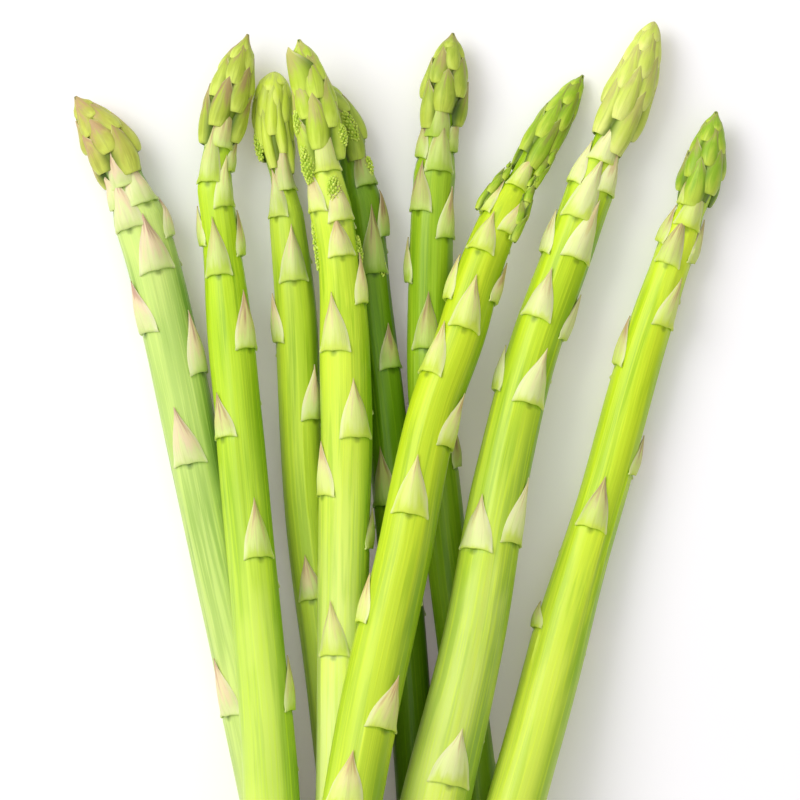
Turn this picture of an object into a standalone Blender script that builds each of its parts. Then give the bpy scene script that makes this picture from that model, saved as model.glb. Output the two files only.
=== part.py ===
"""A loose bundle of nine green asparagus spears, fanned out on a flat surface.

Every spear grew as one piece, so every spear is one solid: a round tapering stem, the pointed
scale leaves that stand on it in a spiral, and a head of tightly packed scales.
Four spears lie on the surface, four lie across those, and the last one lies on top.

X runs to the right, Y towards the tips and Z up from the surface.
Lengths are in millimetres until they become mesh coordinates, which are in metres.
A place on a spear is its distance from the tip, and the angle round the stem from the upper
side: positive to the right, negative to the left, 180 underneath.
"""

import math
from dataclasses import dataclass
from dataclasses import field
from functools import partial

import bmesh
import bpy
import numpy as np
from mathutils import Vector

MM = 0.001
LAYOUT_CENTRE = (-0.05, 70.12)  # the middle of the bundle's box, in the coordinates of the centre lines

STATIONS = 180  # places along a centre line where its height is worked out
STEM_SIDES = 12
SHOOT_SIDES = 6
STEM_STEP = 21.0  # distance between the rings of a bare stem
HEAD_STEP = 4.5  # distance between the rings under a head
LAID_GAP = 0.5  # clear space between two stems that lie on each other
SCALE_GAP = 0.3  # clear space between a scale and the next spear
FLAT_DEPTH = 0.3  # how much of a stem is pressed flat where it lies on the surface
SPRINGINESS = 8.0e5  # bending stiffness of a stem over its weight for each millimetre, in mm3
FLOOR_HARDNESS = 2.0e3  # weight for each millimetre that presses a stem one millimetre into its floor
SETTLING_ROUNDS = 60

GOLDEN_ANGLE = 137.5
LEAST_HEAD_RELIEF = 0.15  # height that even the smallest scales at the point of a head have
CORE_SHARE = 0.77  # the head's core, as a share of the head's outline
CORE_FADE = 9.0  # length over which the core widens to the full stem below the head

TOP_SCALE_BASE = 3.0  # distance from the tip to the base of the last scale of a head
TOP_SCALE_LENGTH = 4.5
TOP_SCALE_WIDTH = 1.2
LOW_SCALE_LENGTH = 11.0  # length of the lowest scales of a head
HEAD_SCALE_SHARE = 0.40  # how much wider a head's scale is for each millimetre of its diameter
HEAD_CROWDING = 1.2  # above 1, the scales crowd together towards the point
HEAD_SHORTENING = 0.8  # below 1, the scales stay long until close to the point

STEM_SCALE_RELIEF = 1.15
STEM_SCALE_WIDTH = 0.66  # width of a scale leaf at its base, as a share of the stem's diameter
KEPT_FACES = 0.60  # share of the joined surface's triangles that its form needs
LEAST_RELIEF = 0.45  # a scale that has less room than this is pressed away altogether
ROOT_DEPTH = 0.8  # how far a scale is sunk into what carries it
ROOT_NARROWING = 0.8  # width of the sunk side of a scale, as a share of its outer side
LEAST_ROOT = 0.15  # how close to the axis a root may reach, as a share of what carries it

SHOOT_SWELL = (0.28, 0.94)  # the part of a sine wave that a side shoot's thickness follows
SHOOT_LIFT = (0.22, 0.32)  # how far its axis stands off the stem at its base and tip, in thicknesses

HIDDEN_SCALE_SPACING = 21.0
HIDDEN_SCALE_LENGTH = 11.0
HIDDEN_SCALE_SIDES = (148.0, 208.0)  # the angles that the leaves of the under side stand at, in turn
HIDDEN_FROM_TIP = 44.0
HIDDEN_TO_BUTT = 30.0

MERGE_DISTANCE = 2e-6  # in metres
SKIN_ROUGHNESS = 0.42
SHARP_ANGLE = 40.0


@dataclass(frozen=True)
class ScaleForm:
    """The outline and the relief of a scale, row by row from below its base to its point."""

    reach: tuple  # along the scale, as a share of its length
    breadth: tuple  # half width, as a share of the half width at the base
    keel: tuple  # height of the middle, as a share of the relief
    edge: tuple  # height of the margins, as a share of the relief


STEM_SCALE = ScaleForm(
    reach=(-0.30, 0.0, 0.52, 1.0),
    breadth=(0.70, 1.0, 0.66, 0.0),
    keel=(-0.20, 1.0, 0.84, 0.66),
    edge=(-0.35, 0.42, 0.48, 0.66),
)
HEAD_SCALE = ScaleForm(
    reach=(-0.06, 0.26, 0.66, 1.0),
    breadth=(0.55, 1.0, 0.62, 0.0),
    keel=(0.55, 1.08, 1.05, 0.95),
    edge=(0.05, 0.34, 0.50, 0.95),
)


@dataclass
class Spear:
    """One spear, with its line on the surface, its thickness and what grows on it."""

    name: str
    colour: tuple
    centre_line: tuple  # (x, y) from the tip to the butt
    girth: tuple  # (distance from the tip, diameter over the head scales)
    head_length: float
    head_scales: int
    head_turn: float  # angle of the head's lowest scale
    scales: tuple  # (distance of the base, angle, length) of the scale leaves on the upper side
    shoots: tuple = ()  # (distance of the base, angle, length, thickness) of side shoots
    along: np.ndarray = field(default=None, repr=False)
    points: np.ndarray = field(default=None, repr=False)
    radius: np.ndarray = field(default=None, repr=False)

    def lay_out(self):
        """Samples the centre line and the radius at every station, at no height yet."""
        line = np.array(self.centre_line)
        steps = np.hypot(*np.diff(line, axis=0).T)
        places = np.concatenate([[0.0], np.cumsum(steps)])
        self.along = np.linspace(0.0, places[-1], STATIONS)
        x = flowing(self.along, places, line[:, 0]) - LAYOUT_CENTRE[0]
        y = flowing(self.along, places, line[:, 1]) - LAYOUT_CENTRE[1]
        self.points = np.stack([x, y, np.zeros(STATIONS)], axis=1)
        distances, diameters = np.array(self.girth).T
        self.radius = flowing(self.along, distances, diameters) / 2

    @property
    def length(self):
        return float(self.along[-1])

    def outline(self, distance):
        """Radius over the head scales, or of the bare stem."""
        return float(np.interp(distance, self.along, self.radius))

    def core(self, distance):
        """Radius of what the scales stand on."""
        share = min(max((distance - self.head_length) / CORE_FADE, 0.0), 1.0)
        return self.outline(distance) * (CORE_SHARE + (1.0 - CORE_SHARE) * share)

    def head_relief(self, distance):
        """Height of the head's scales over its core."""
        return self.outline(distance) - self.core(distance) + LEAST_HEAD_RELIEF

    def centre(self, distance):
        return np.array([np.interp(distance, self.along, axis) for axis in self.points.T])

    def place(self, distance, angle, radius):
        """The point at this distance from the tip, angle round the stem and radius."""
        ahead = self.centre(max(distance - 1.0, 0.0))
        behind = self.centre(min(distance + 1.0, self.length))
        forward = (ahead - behind) / np.linalg.norm(ahead - behind)
        aside = np.cross(forward, (0.0, 0.0, 1.0))
        aside /= np.linalg.norm(aside)
        upward = np.cross(aside, forward)
        turned = math.radians(angle)
        return self.centre(distance) + radius * (math.sin(turned) * aside + math.cos(turned) * upward)


def green(red, middle, blue):
    """A colour from its 0 to 255 values, as the linear values a material takes."""
    return tuple((value / 255) ** 2.2 for value in (red, middle, blue)) + (1.0,)


SPEARS = (
    Spear(
        name="spear_a",
        colour=green(170, 205, 95),
        centre_line=(
            (-74.8, 161.9), (-66.2, 149.5), (-58.4, 128.8), (-52.7, 105.8),
            (-45.1, 69.0), (-35.2, 23.0), (-24.6, -31.0),
        ),
        girth=((0, 1.6), (5, 6.8), (10, 11.0), (15, 12.9), (24, 12.4), (60, 12.4), (140, 12.6), (215, 13.0)),
        head_length=23.0,
        head_scales=19,
        head_turn=-110.0,
        scales=(
            (23.5, -7, 10), (28.5, 31, 10), (28, -75, 9), (33, -28, 12), (37.5, 82, 9), (44, 8, 13),
            (57.5, -60, 12), (69, 63, 14), (89, -14, 13), (147.5, -52, 13),
        ),
    ),
    Spear(
        name="spear_b",
        colour=green(176, 214, 70),
        centre_line=(
            (-35.0, 176.2), (-40.0, 158.7), (-42.6, 142.6), (-41.2, 128.8),
            (-37.5, 92.0), (-33.1, 46.0), (-29.4, 0.0), (-28.6, -35.0),
        ),
        girth=(
            (0, 1.4), (5, 6.0), (10, 9.2), (17, 11.2), (27, 10.4), (36, 8.6), (50, 8.6),
            (66, 10.4), (90, 11.1), (130, 11.6), (180, 13.2), (220, 13.3),
        ),
        head_length=28.0,
        head_scales=22,
        head_turn=150.0,
        scales=(
            (26.5, 8, 11), (32, 80, 8), (34.5, -22, 13), (40.5, 32, 12), (49, -85, 9), (52, 88, 10),
            (56, -15, 13), (73.5, 50, 13), (93.5, -45, 10), (121.5, 22, 13), (156.5, 85, 12),
        ),
    ),
    Spear(
        name="spear_c",
        colour=green(170, 204, 80),
        centre_line=(
            (-28.8, 167.7), (-29.4, 158.7), (-26.5, 138.0), (-24.2, 115.0),
            (-21.9, 69.0), (-16.3, 23.0), (-9.8, -33.0),
        ),
        girth=(
            (0, 4.4), (4, 8.0), (10, 9.4), (18, 9.2), (27, 7.6), (36, 8.6), (52, 9.8),
            (90, 10.1), (150, 10.4), (205, 10.6),
        ),
        head_length=24.0,
        head_scales=18,
        head_turn=60.0,
        scales=((27, 20, 14), (33, -35, 11), (48, 3, 12.5), (62, -75, 11), (80, 42, 12), (121.5, -12, 10)),
    ),
    Spear(
        name="spear_d",
        colour=green(205, 232, 100),
        centre_line=(
            (-23.2, 174.6), (-19.8, 161.0), (-16.8, 142.6), (-14.0, 124.2),
            (-12.4, 92.0), (-13.1, 46.0), (-13.6, 0.0), (-15.0, -36.5),
        ),
        girth=(
            (0, 1.6), (5, 6.4), (10, 8.8), (18, 10.8), (28, 11.0), (40, 9.8), (52, 9.8),
            (70, 11.6), (120, 11.7), (180, 12.0), (220, 12.2),
        ),
        head_length=30.0,
        head_scales=22,
        head_turn=-60.0,
        scales=(
            (30, 6, 15), (39, -50, 11), (42, 25, 10), (50, 10, 9), (61, 68, 11), (71.5, -26, 13),
            (91.5, 25, 13), (105, -62, 12), (117, 90, 9), (141.5, -20, 12),
        ),
        shoots=((34, -62, 9, 3.2), (38, 30, 6, 2.8), (50, -78, 9, 2.6), (60, -80, 9, 2.4), (53, 80, 9, 2.8)),
    ),
    Spear(
        name="spear_e",
        colour=green(130, 170, 45),
        centre_line=(
            (-18.9, 170.2), (-13.1, 156.4), (-9.4, 138.0), (-6.8, 115.0),
            (-3.8, 92.0), (0.6, 46.0), (3.9, 0.0), (5.4, -32.0),
        ),
        girth=(
            (0, 1.5), (5, 5.8), (10, 8.6), (16, 10.0), (26, 9.8), (45, 9.7), (90, 9.9), (150, 10.0), (210, 10.2),
        ),
        head_length=23.0,
        head_scales=18,
        head_turn=20.0,
        scales=((19, 25, 9), (30, 45, 9), (42, 78, 9), (48.5, 20, 15), (71, 38, 10), (102, -28, 13)),
        shoots=((25, 10, 8, 3.0),),
    ),
    Spear(
        name="spear_f",
        colour=green(190, 218, 75),
        centre_line=(
            (42.3, 167.0), (35.0, 155.2), (25.3, 138.0), (18.4, 121.9), (13.6, 105.8),
            (8.5, 92.0), (0.5, 55.2), (-6.7, 23.0), (-17.5, -38.0),
        ),
        girth=(
            (0, 1.3), (5, 5.0), (10, 7.4), (17, 8.6), (27, 8.4), (36, 9.2), (58, 10.8),
            (85, 11.5), (105, 12.4), (142, 13.7), (225, 13.8),
        ),
        head_length=28.0,
        head_scales=22,
        head_turn=100.0,
        scales=(
            (30.5, 0, 9), (38.5, -72, 9), (41.5, 38, 9), (47.5, -22, 9), (57.5, 85, 10), (59.5, -85, 10),
            (65.5, 3, 12), (77.5, -48, 12), (92.5, 63, 13), (109.5, -5, 13), (135.5, -80, 11),
            (158, 38, 12), (176.5, -17, 12),
        ),
        shoots=((39, -74, 12, 3.0), (42, 46, 13, 3.2), (31, 58, 12, 3.0)),
    ),
    Spear(
        name="spear_g",
        colour=green(160, 198, 60),
        centre_line=(
            (12.2, 176.6), (10.3, 163.3), (8.3, 147.2), (6.9, 115.0),
            (6.9, 92.0), (9.7, 65.5), (16.1, 15.2), (22.0, -34.0),
        ),
        girth=(
            (0, 1.5), (5, 7.0), (10, 10.0), (14, 11.2), (22, 10.6), (34, 9.6), (50, 9.9), (120, 10.2), (215, 10.6),
        ),
        head_length=24.0,
        head_scales=19,
        head_turn=170.0,
        scales=(
            (24, -10, 11), (27, 75, 9), (29, -75, 9), (31.5, 12, 13.5), (41, -42, 11), (47, 50, 11.5),
            (57.5, -88, 10), (72.5, -8, 12.5), (100.5, 85, 9),
        ),
    ),
    Spear(
        name="spear_h",
        colour=green(200, 226, 105),
        centre_line=(
            (58.7, 179.2), (54.5, 166.8), (46.0, 146.1), (38.0, 124.2), (30.6, 103.5),
            (23.2, 73.6), (16.6, 36.8), (8.0, 0.0), (0.4, -36.0),
        ),
        girth=(
            (0, 2.6), (5, 6.6), (10, 9.2), (18, 11.4), (30, 11.4), (44, 10.8), (58, 11.2),
            (90, 12.1), (118, 13.2), (150, 14.6), (176, 16.0), (230, 16.2),
        ),
        head_length=32.0,
        head_scales=24,
        head_turn=30.0,
        scales=(
            (34.5, 0, 10), (41, 50, 10), (41, -65, 10), (48.5, -10, 15), (57.5, 26, 14), (58.5, -80, 10),
            (73.5, -22, 11.5), (76, 85, 11), (91.5, -88, 10), (93, 24, 13), (128, -32, 12), (125, 58, 15),
            (181, 16, 12.5),
        ),
    ),
    Spear(
        name="spear_i",
        colour=green(205, 230, 90),
        centre_line=(
            (72.9, 158.5), (69.0, 141.5), (62.8, 124.2), (56.6, 105.8), (47.6, 73.6),
            (39.3, 46.0), (30.6, 13.8), (17.5, -30.0),
        ),
        girth=(
            (0, 1.6), (5, 6.0), (10, 9.0), (16, 10.6), (25, 9.8), (36, 8.8), (48, 9.7),
            (72, 10.8), (105, 11.5), (124, 13.0), (155, 13.6), (205, 13.6),
        ),
        head_length=24.0,
        head_scales=20,
        head_turn=-150.0,
        scales=(
            (22.5, -35, 9), (27, 8, 11), (32.5, -80, 9), (36.5, -15, 12), (34.5, 82, 10), (50.5, 38, 11.5),
            (62, -78, 11), (85.5, 88, 9), (100, -5, 12), (125.5, -88, 11),
        ),
    ),
)
ORDER_OF_LAYING = ("a", "c", "e", "g", "b", "d", "h", "i", "f")
ON_THE_SURFACE = ("a", "c", "e", "g")


def flowing(at, places, values):
    """A smooth curve through the values at these places, read at each of the distances."""
    at = np.clip(at, places[0], places[-1])
    slopes = np.gradient(np.asarray(values, float), places)
    index = np.clip(np.searchsorted(places, at, side="right") - 1, 0, len(places) - 2)
    width = np.asarray(places, float)[index + 1] - np.asarray(places, float)[index]
    share = (at - np.asarray(places, float)[index]) / width
    start = np.asarray(values, float)[index]
    end = np.asarray(values, float)[index + 1]
    smooth = share * share * (3 - 2 * share)
    leaving = (share**3 - 2 * share**2 + share) * width * slopes[index]
    arriving = (share**3 - share**2) * width * slopes[index + 1]
    return start + (end - start) * smooth + leaving + arriving


def settled(along, floor):
    """The height of a springy stem that has come to rest under its own weight on an uneven floor."""
    step = along[1] - along[0]
    bends = np.diff(np.eye(len(along)), 2, axis=0)
    spring = SPRINGINESS / step**3 * bends.T @ bends
    touching = np.ones(len(along), bool)
    for _ in range(SETTLING_ROUNDS):
        hold = FLOOR_HARDNESS * touching
        line = np.linalg.solve(spring + np.diag(hold), hold * floor - step)
        touching = line < floor
    return line + max((floor - line).max(), 0.0)


def lay_down(spear, laid, pressed):
    """Sets the height of a spear's centre line, lying on the surface and on the spears under it."""
    floor = spear.radius - pressed
    for other in laid:
        across = np.linalg.norm(spear.points[:, None, :2] - other.points[None, :, :2], axis=2)
        reach = spear.radius[:, None] + other.radius[None, :] + LAID_GAP
        rise = np.sqrt(np.clip(reach**2 - across**2, 0.0, None))
        over = np.where(across < reach, other.points[None, :, 2] + rise, 0.0)
        floor = np.maximum(floor, over.max(axis=1))
    spear.points[:, 2] = settled(spear.along, floor)


def room_at(point, spear, spears):
    """The clear space between a point on one spear and the nearest other spear."""
    gaps = [
        (np.linalg.norm(other.points - point, axis=1) - other.radius).min()
        for other in spears
        if other is not spear
    ]
    return float(min(gaps)) - SCALE_GAP


def hidden_scales(spear):
    """The scale leaves of the under side, where the spiral goes on out of sight."""
    places = np.arange(HIDDEN_FROM_TIP, spear.length - HIDDEN_TO_BUTT, HIDDEN_SCALE_SPACING)
    return [
        (float(distance), HIDDEN_SCALE_SIDES[step % 2], HIDDEN_SCALE_LENGTH)
        for step, distance in enumerate(places)
    ]


def packed_scales(spear):
    """The packed scales of a head: (distance of the base, angle, length, width), lowest first."""
    found = []
    for step in range(spear.head_scales):
        share = step / (spear.head_scales - 1)
        base = TOP_SCALE_BASE + (spear.head_length - TOP_SCALE_BASE) * (1.0 - share) ** HEAD_CROWDING
        length = TOP_SCALE_LENGTH + (LOW_SCALE_LENGTH - TOP_SCALE_LENGTH) * (1.0 - share) ** HEAD_SHORTENING
        width = TOP_SCALE_WIDTH + HEAD_SCALE_SHARE * 2 * spear.outline(base)
        angle = spear.head_turn + GOLDEN_ANGLE * step
        found.append((base, angle, min(length, base), width))
    return found


def even_relief(height, distance):
    """The relief of a scale leaf on the stem, which is the same all along it."""
    return height


def scale_template(rows):
    """A closed slab three points wide, whose points hold (across, row, inner or outer)."""
    slab = bmesh.new()
    bmesh.ops.create_grid(slab, x_segments=2, y_segments=rows - 1, size=1.0)
    for vert in slab.verts:
        vert.co.y = round((vert.co.y + 1.0) / 2.0 * (rows - 1))
    grown = bmesh.ops.extrude_face_region(slab, geom=slab.faces[:])
    raised = [part for part in grown["geom"] if isinstance(part, bmesh.types.BMVert)]
    bmesh.ops.translate(slab, verts=raised, vec=(0.0, 0.0, 1.0))
    return slab


def finish_solid(shape, name, origin):
    """Closes and turns a shape outwards, and makes it an object with its own origin."""
    bmesh.ops.remove_doubles(shape, verts=shape.verts[:], dist=MERGE_DISTANCE)
    bmesh.ops.dissolve_degenerate(shape, edges=shape.edges[:], dist=MERGE_DISTANCE)
    bmesh.ops.triangulate(shape, faces=shape.faces[:])
    bmesh.ops.recalc_face_normals(shape, faces=shape.faces[:])
    mesh = bpy.data.meshes.new(name)
    shape.to_mesh(mesh)
    shape.free()
    solid = bpy.data.objects.new(name, mesh)
    solid.location = origin
    return solid


def scale_solid(spear, form, distance, angle, length, width, relief, origin):
    """One scale, sunk into the spear that it stands on. Its relief is a function of the distance."""
    slab = scale_template(len(form.reach))
    for vert in slab.verts:
        row = round(vert.co.y)
        inner = vert.co.z < 0.5
        along = min(max(distance - form.reach[row] * length, 0.1), spear.length - 1.0)
        carrier = spear.core(along)
        keel = abs(vert.co.x) < 0.5
        lift = (form.keel if keel else form.edge)[row] * relief(along)
        radius = max(carrier - ROOT_DEPTH, LEAST_ROOT * carrier) if inner else carrier + lift
        half_width = form.breadth[row] * width / 2 * (ROOT_NARROWING if inner else 1.0)
        turn = math.degrees(vert.co.x * half_width / max(carrier, 1.0))
        vert.co = (Vector(spear.place(along, angle + turn, radius)) * MM) - origin
    return finish_solid(slab, "scale", origin)


def shoot_solid(spear, distance, angle, length, thickness, origin):
    """A slender side shoot that grows from behind a scale leaf and lies along the stem."""
    shape = column(SHOOT_SIDES, 4)
    for vert in shape.verts:
        share = vert.co.z
        girth = thickness / 2 * math.sin(math.pi * float(np.interp(share, (0, 1), SHOOT_SWELL)))
        along = distance - share * length
        out = spear.core(along) + thickness * float(np.interp(share, (0, 1), SHOOT_LIFT))
        centre = Vector(spear.place(along, angle, out))
        aside = Vector(spear.place(along, angle + 90.0, 1.0)) - Vector(spear.centre(along))
        outward = Vector(spear.place(along, angle, 1.0)) - Vector(spear.centre(along))
        vert.co = (centre + girth * (vert.co.x * aside + vert.co.y * outward)) * MM - origin
    return finish_solid(shape, "shoot", origin)


def column(sides, rings):
    """A closed column with a round of points at every height from 0 to 1, in even steps."""
    shape = bmesh.new()
    bmesh.ops.create_cone(shape, segments=sides, radius1=1.0, radius2=1.0, depth=1.0, cap_ends=True)
    bmesh.ops.translate(shape, verts=shape.verts[:], vec=(0.0, 0.0, 0.5))
    upright = [edge for edge in shape.edges if abs(edge.verts[0].co.z - edge.verts[1].co.z) > 0.5]
    bmesh.ops.subdivide_edges(shape, edges=upright, cuts=rings - 2)
    return shape


def stem_solid(spear, origin):
    """The round stem and the core of the head, ring by ring from the butt to the tip."""
    head_end = spear.head_length + CORE_FADE
    below = np.linspace(spear.length, head_end, round((spear.length - head_end) / STEM_STEP) + 1)
    above = np.linspace(head_end, 0.0, round(head_end / HEAD_STEP) + 1)[1:]
    rings = np.concatenate([below, above])
    shape = column(STEM_SIDES, len(rings))
    for vert in shape.verts:
        distance = rings[round(vert.co.z * (len(rings) - 1))]
        angle = math.degrees(math.atan2(vert.co.x, vert.co.y)) + 180.0 / STEM_SIDES
        vert.co = Vector(spear.place(distance, angle, spear.core(distance))) * MM - origin
    return finish_solid(shape, spear.name, origin)


def joined(body, extras):
    """One closed body made of the stem and all that stands on it."""
    pile = bpy.data.collections.new("growth")
    bpy.context.scene.collection.children.link(pile)
    for extra in extras:
        pile.objects.link(extra)
    union = body.modifiers.new("growth", "BOOLEAN")
    union.operation = "UNION"
    union.operand_type = "COLLECTION"
    union.collection = pile
    union.solver = "EXACT"
    thinned = body.modifiers.new("fewer faces", "DECIMATE")
    thinned.ratio = KEPT_FACES
    bpy.context.view_layer.update()
    graph = bpy.context.evaluated_depsgraph_get()
    whole = bpy.data.meshes.new_from_object(body.evaluated_get(graph))
    body.modifiers.clear()
    body.data = whole
    for extra in extras:
        bpy.data.objects.remove(extra)
    bpy.data.collections.remove(pile)


def outer_skin(shape):
    """Keeps the outer skin alone, without the sealed gaps that packed scales leave between them."""
    islands = []
    waiting = set(shape.faces)
    while waiting:
        island = {waiting.pop()}
        edge_of_island = list(island)
        while edge_of_island:
            face = edge_of_island.pop()
            near = {other for edge in face.edges for other in edge.link_faces} & waiting
            waiting -= near
            island |= near
            edge_of_island.extend(near)
        islands.append(island)
    islands.sort(key=lambda island: sum(face.calc_area() for face in island))
    inside = [face for island in islands[:-1] for face in island]
    bmesh.ops.delete(shape, geom=inside, context="FACES")


def pressed_flat(body):
    """Flattens the little that would reach under the surface."""
    shape = bmesh.new()
    shape.from_mesh(body.data)
    outer_skin(shape)
    level = Vector((0.0, 0.0, -body.location.z))
    cut = bmesh.ops.bisect_plane(
        shape,
        geom=shape.verts[:] + shape.edges[:] + shape.faces[:],
        plane_co=level,
        plane_no=(0.0, 0.0, 1.0),
        clear_inner=True,
    )
    rim = [part for part in cut["geom_cut"] if isinstance(part, bmesh.types.BMEdge)]
    bmesh.ops.holes_fill(shape, edges=rim)
    bmesh.ops.triangulate(shape, faces=shape.faces[:])
    shape.to_mesh(body.data)
    shape.free()


def skin(spear):
    """The fresh green of one spear."""
    material = bpy.data.materials.new(spear.name + "_skin")
    material.use_nodes = True
    shader = material.node_tree.nodes["Principled BSDF"]
    shader.inputs["Base Color"].default_value = spear.colour
    shader.inputs["Roughness"].default_value = SKIN_ROUGHNESS
    shader.inputs["Metallic"].default_value = 0.0
    return material


def grow(spear, spears, bundle):
    """Makes one spear's solid and hangs it on the bundle."""
    origin = Vector(spear.centre(spear.length)) * MM
    body = stem_solid(spear, origin)
    bpy.context.scene.collection.objects.link(body)
    extras = []
    for distance, angle, length in list(spear.scales) + hidden_scales(spear):
        point = spear.place(distance, angle, spear.outline(distance))
        relief = min(STEM_SCALE_RELIEF, room_at(point, spear, spears))
        if relief < LEAST_RELIEF:
            continue
        width = STEM_SCALE_WIDTH * 2 * spear.outline(distance)
        even = partial(even_relief, relief)
        extras.append(scale_solid(spear, STEM_SCALE, distance, angle, length, width, even, origin))
    for distance, angle, length, width in packed_scales(spear):
        rise = spear.head_relief
        extras.append(scale_solid(spear, HEAD_SCALE, distance, angle, length, width, rise, origin))
    for distance, angle, length, thickness in spear.shoots:
        point = spear.place(distance, angle, spear.outline(distance))
        if room_at(point, spear, spears) > thickness:
            extras.append(shoot_solid(spear, distance, angle, length, thickness, origin))
    joined(body, extras)
    pressed_flat(body)
    body.data.materials.append(skin(spear))
    body.data.shade_smooth()
    body.data.set_sharp_from_angle(angle=math.radians(SHARP_ANGLE))
    body.parent = bundle


def main():
    for thing in list(bpy.data.objects):
        bpy.data.objects.remove(thing)
    by_letter = {spear.name[-1]: spear for spear in SPEARS}
    laid = []
    for letter in ORDER_OF_LAYING:
        spear = by_letter[letter]
        spear.lay_out()
        lay_down(spear, laid, FLAT_DEPTH if letter in ON_THE_SURFACE else 0.0)
        laid.append(spear)
    bundle = bpy.data.objects.new("bundle", None)
    bpy.context.scene.collection.objects.link(bundle)
    for spear in SPEARS:
        grow(spear, SPEARS, bundle)


if __name__ == "__main__":
    main()
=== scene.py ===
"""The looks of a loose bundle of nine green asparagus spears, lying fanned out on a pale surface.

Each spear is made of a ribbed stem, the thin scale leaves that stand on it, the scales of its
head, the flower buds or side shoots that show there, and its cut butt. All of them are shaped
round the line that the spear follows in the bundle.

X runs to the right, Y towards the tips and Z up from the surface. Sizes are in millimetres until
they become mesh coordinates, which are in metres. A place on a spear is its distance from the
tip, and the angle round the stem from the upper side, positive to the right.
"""

from __future__ import annotations

import logging
import math
from collections.abc import Callable, Sequence
from dataclasses import dataclass, field
from enum import Enum

import bmesh
import bpy
import numpy as np
from mathutils import Euler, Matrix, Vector

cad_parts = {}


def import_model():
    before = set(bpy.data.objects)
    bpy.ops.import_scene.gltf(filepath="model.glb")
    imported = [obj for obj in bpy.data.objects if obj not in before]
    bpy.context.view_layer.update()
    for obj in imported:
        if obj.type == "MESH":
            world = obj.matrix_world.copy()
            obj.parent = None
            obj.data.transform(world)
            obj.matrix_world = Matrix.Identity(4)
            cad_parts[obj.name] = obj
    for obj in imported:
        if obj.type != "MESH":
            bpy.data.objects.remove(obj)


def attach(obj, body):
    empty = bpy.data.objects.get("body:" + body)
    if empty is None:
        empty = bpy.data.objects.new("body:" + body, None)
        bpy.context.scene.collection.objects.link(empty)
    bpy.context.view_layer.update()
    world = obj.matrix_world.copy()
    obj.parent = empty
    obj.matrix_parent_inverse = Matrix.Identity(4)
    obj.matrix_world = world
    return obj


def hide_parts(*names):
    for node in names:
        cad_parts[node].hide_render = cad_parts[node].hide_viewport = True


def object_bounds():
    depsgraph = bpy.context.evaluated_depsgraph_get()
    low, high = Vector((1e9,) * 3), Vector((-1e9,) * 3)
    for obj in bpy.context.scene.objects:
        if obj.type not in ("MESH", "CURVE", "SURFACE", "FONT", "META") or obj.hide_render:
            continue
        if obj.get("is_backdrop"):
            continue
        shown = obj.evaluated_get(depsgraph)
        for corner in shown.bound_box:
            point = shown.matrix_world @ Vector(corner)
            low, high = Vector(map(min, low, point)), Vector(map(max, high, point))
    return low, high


Piece = bpy.types.Object
Socket = bpy.types.NodeSocket
Colour = tuple[int, int, int]  # red, green and blue, from 0 to 255, as they look
Pair = tuple[float, float]
Triple = tuple[float, float, float]
Change = tuple[float, float, float, float]  # where a change starts and ends, and its two values there

MM = 0.001
LAYOUT_CENTRE = (-0.05, 70.12)  # the middle of the bundle's box, in the coordinates of the lines

STATIONS = 180  # places along a line where its height is worked out
LAID_GAP = 0.5  # clear space between two stems that lie on each other
LEAF_GAP = 0.3  # clear space between a leaf and the next spear
FLAT_DEPTH = 0.3  # how much of a stem is pressed flat where it lies on the surface
SPRINGINESS = 8.0e5  # bending stiffness of a stem over its weight for each millimetre, in mm3
FLOOR_HARDNESS = 2.0e3  # weight for each millimetre that presses a stem one millimetre in
SETTLING_ROUNDS = 60

GOLDEN_ANGLE = 137.5
HEAD_SEED = 50  # what the draws for a head and for its buds add to a spear's own seed
FROTH_SEED = 100
CORE_SHARE = 0.66  # the head's core, as a share of the head's outline
CORE_FADE = 9.0  # length over which the core widens to the full stem below the head
POINT_SHARE = 0.30  # the radius of a head's point, as a share of the outline's
DOME_LENGTH = 3.0  # how far from its tip a rounded head reaches its full thickness
LEAST_DOME = 0.05  # a rounded tip's least radius, as a share of the outline's
SAMPLE_STEP = 1.0  # how far before and after a place the direction of a line is read
LEVEL = 0.01  # heights and slopes that differ by less than this count as the same

TOP_SCALE_BASE = 3.0  # distance from the tip to the base of the last scale of a head
TOP_SCALE_LENGTH = 4.5
TOP_SCALE_WIDTH = 1.2  # a share of the head's diameter is added to it
HEAD_SCALE_LENGTH = (2.0, 0.37)  # of the lowest: a length, and a share of the head's length more
HEAD_SCALE_SHARE = 0.46  # how much wider a scale is for each millimetre of the head's diameter
HEAD_CROWDING = 1.2  # above 1, the scales crowd together towards the point
HEAD_SHORTENING = 0.8  # below 1, the scales stay long until close to the point
HEAD_LENGTHS = (1.0, 1.12)  # how unevenly long, wide and full the scales of a head are
HEAD_WIDTHS = (0.96, 1.10)
HEAD_SWELLS = (0.92, 1.02)
HEAD_LEAN = 8.0  # how unevenly they lean, in degrees
HEAD_CALM = (0.6, 0.7)  # how much less varied the scales at the point are, and how much less painted shade they have
LEAST_HEAD_RELIEF = 0.15  # height that even the smallest scales at the point of a head have
INNER_SCALE = (0.86, 0.55, 180.0, 0.90)  # size, fullness, turn and painted shade of those between the others
BARE_SHARE = 0.13  # how far up a head's spiral of scales the inner ones start, as a share of it
SPREAD_FORM = (2.5, 0.8)  # width and fullness of a spread leaf, against a head scale

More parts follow.
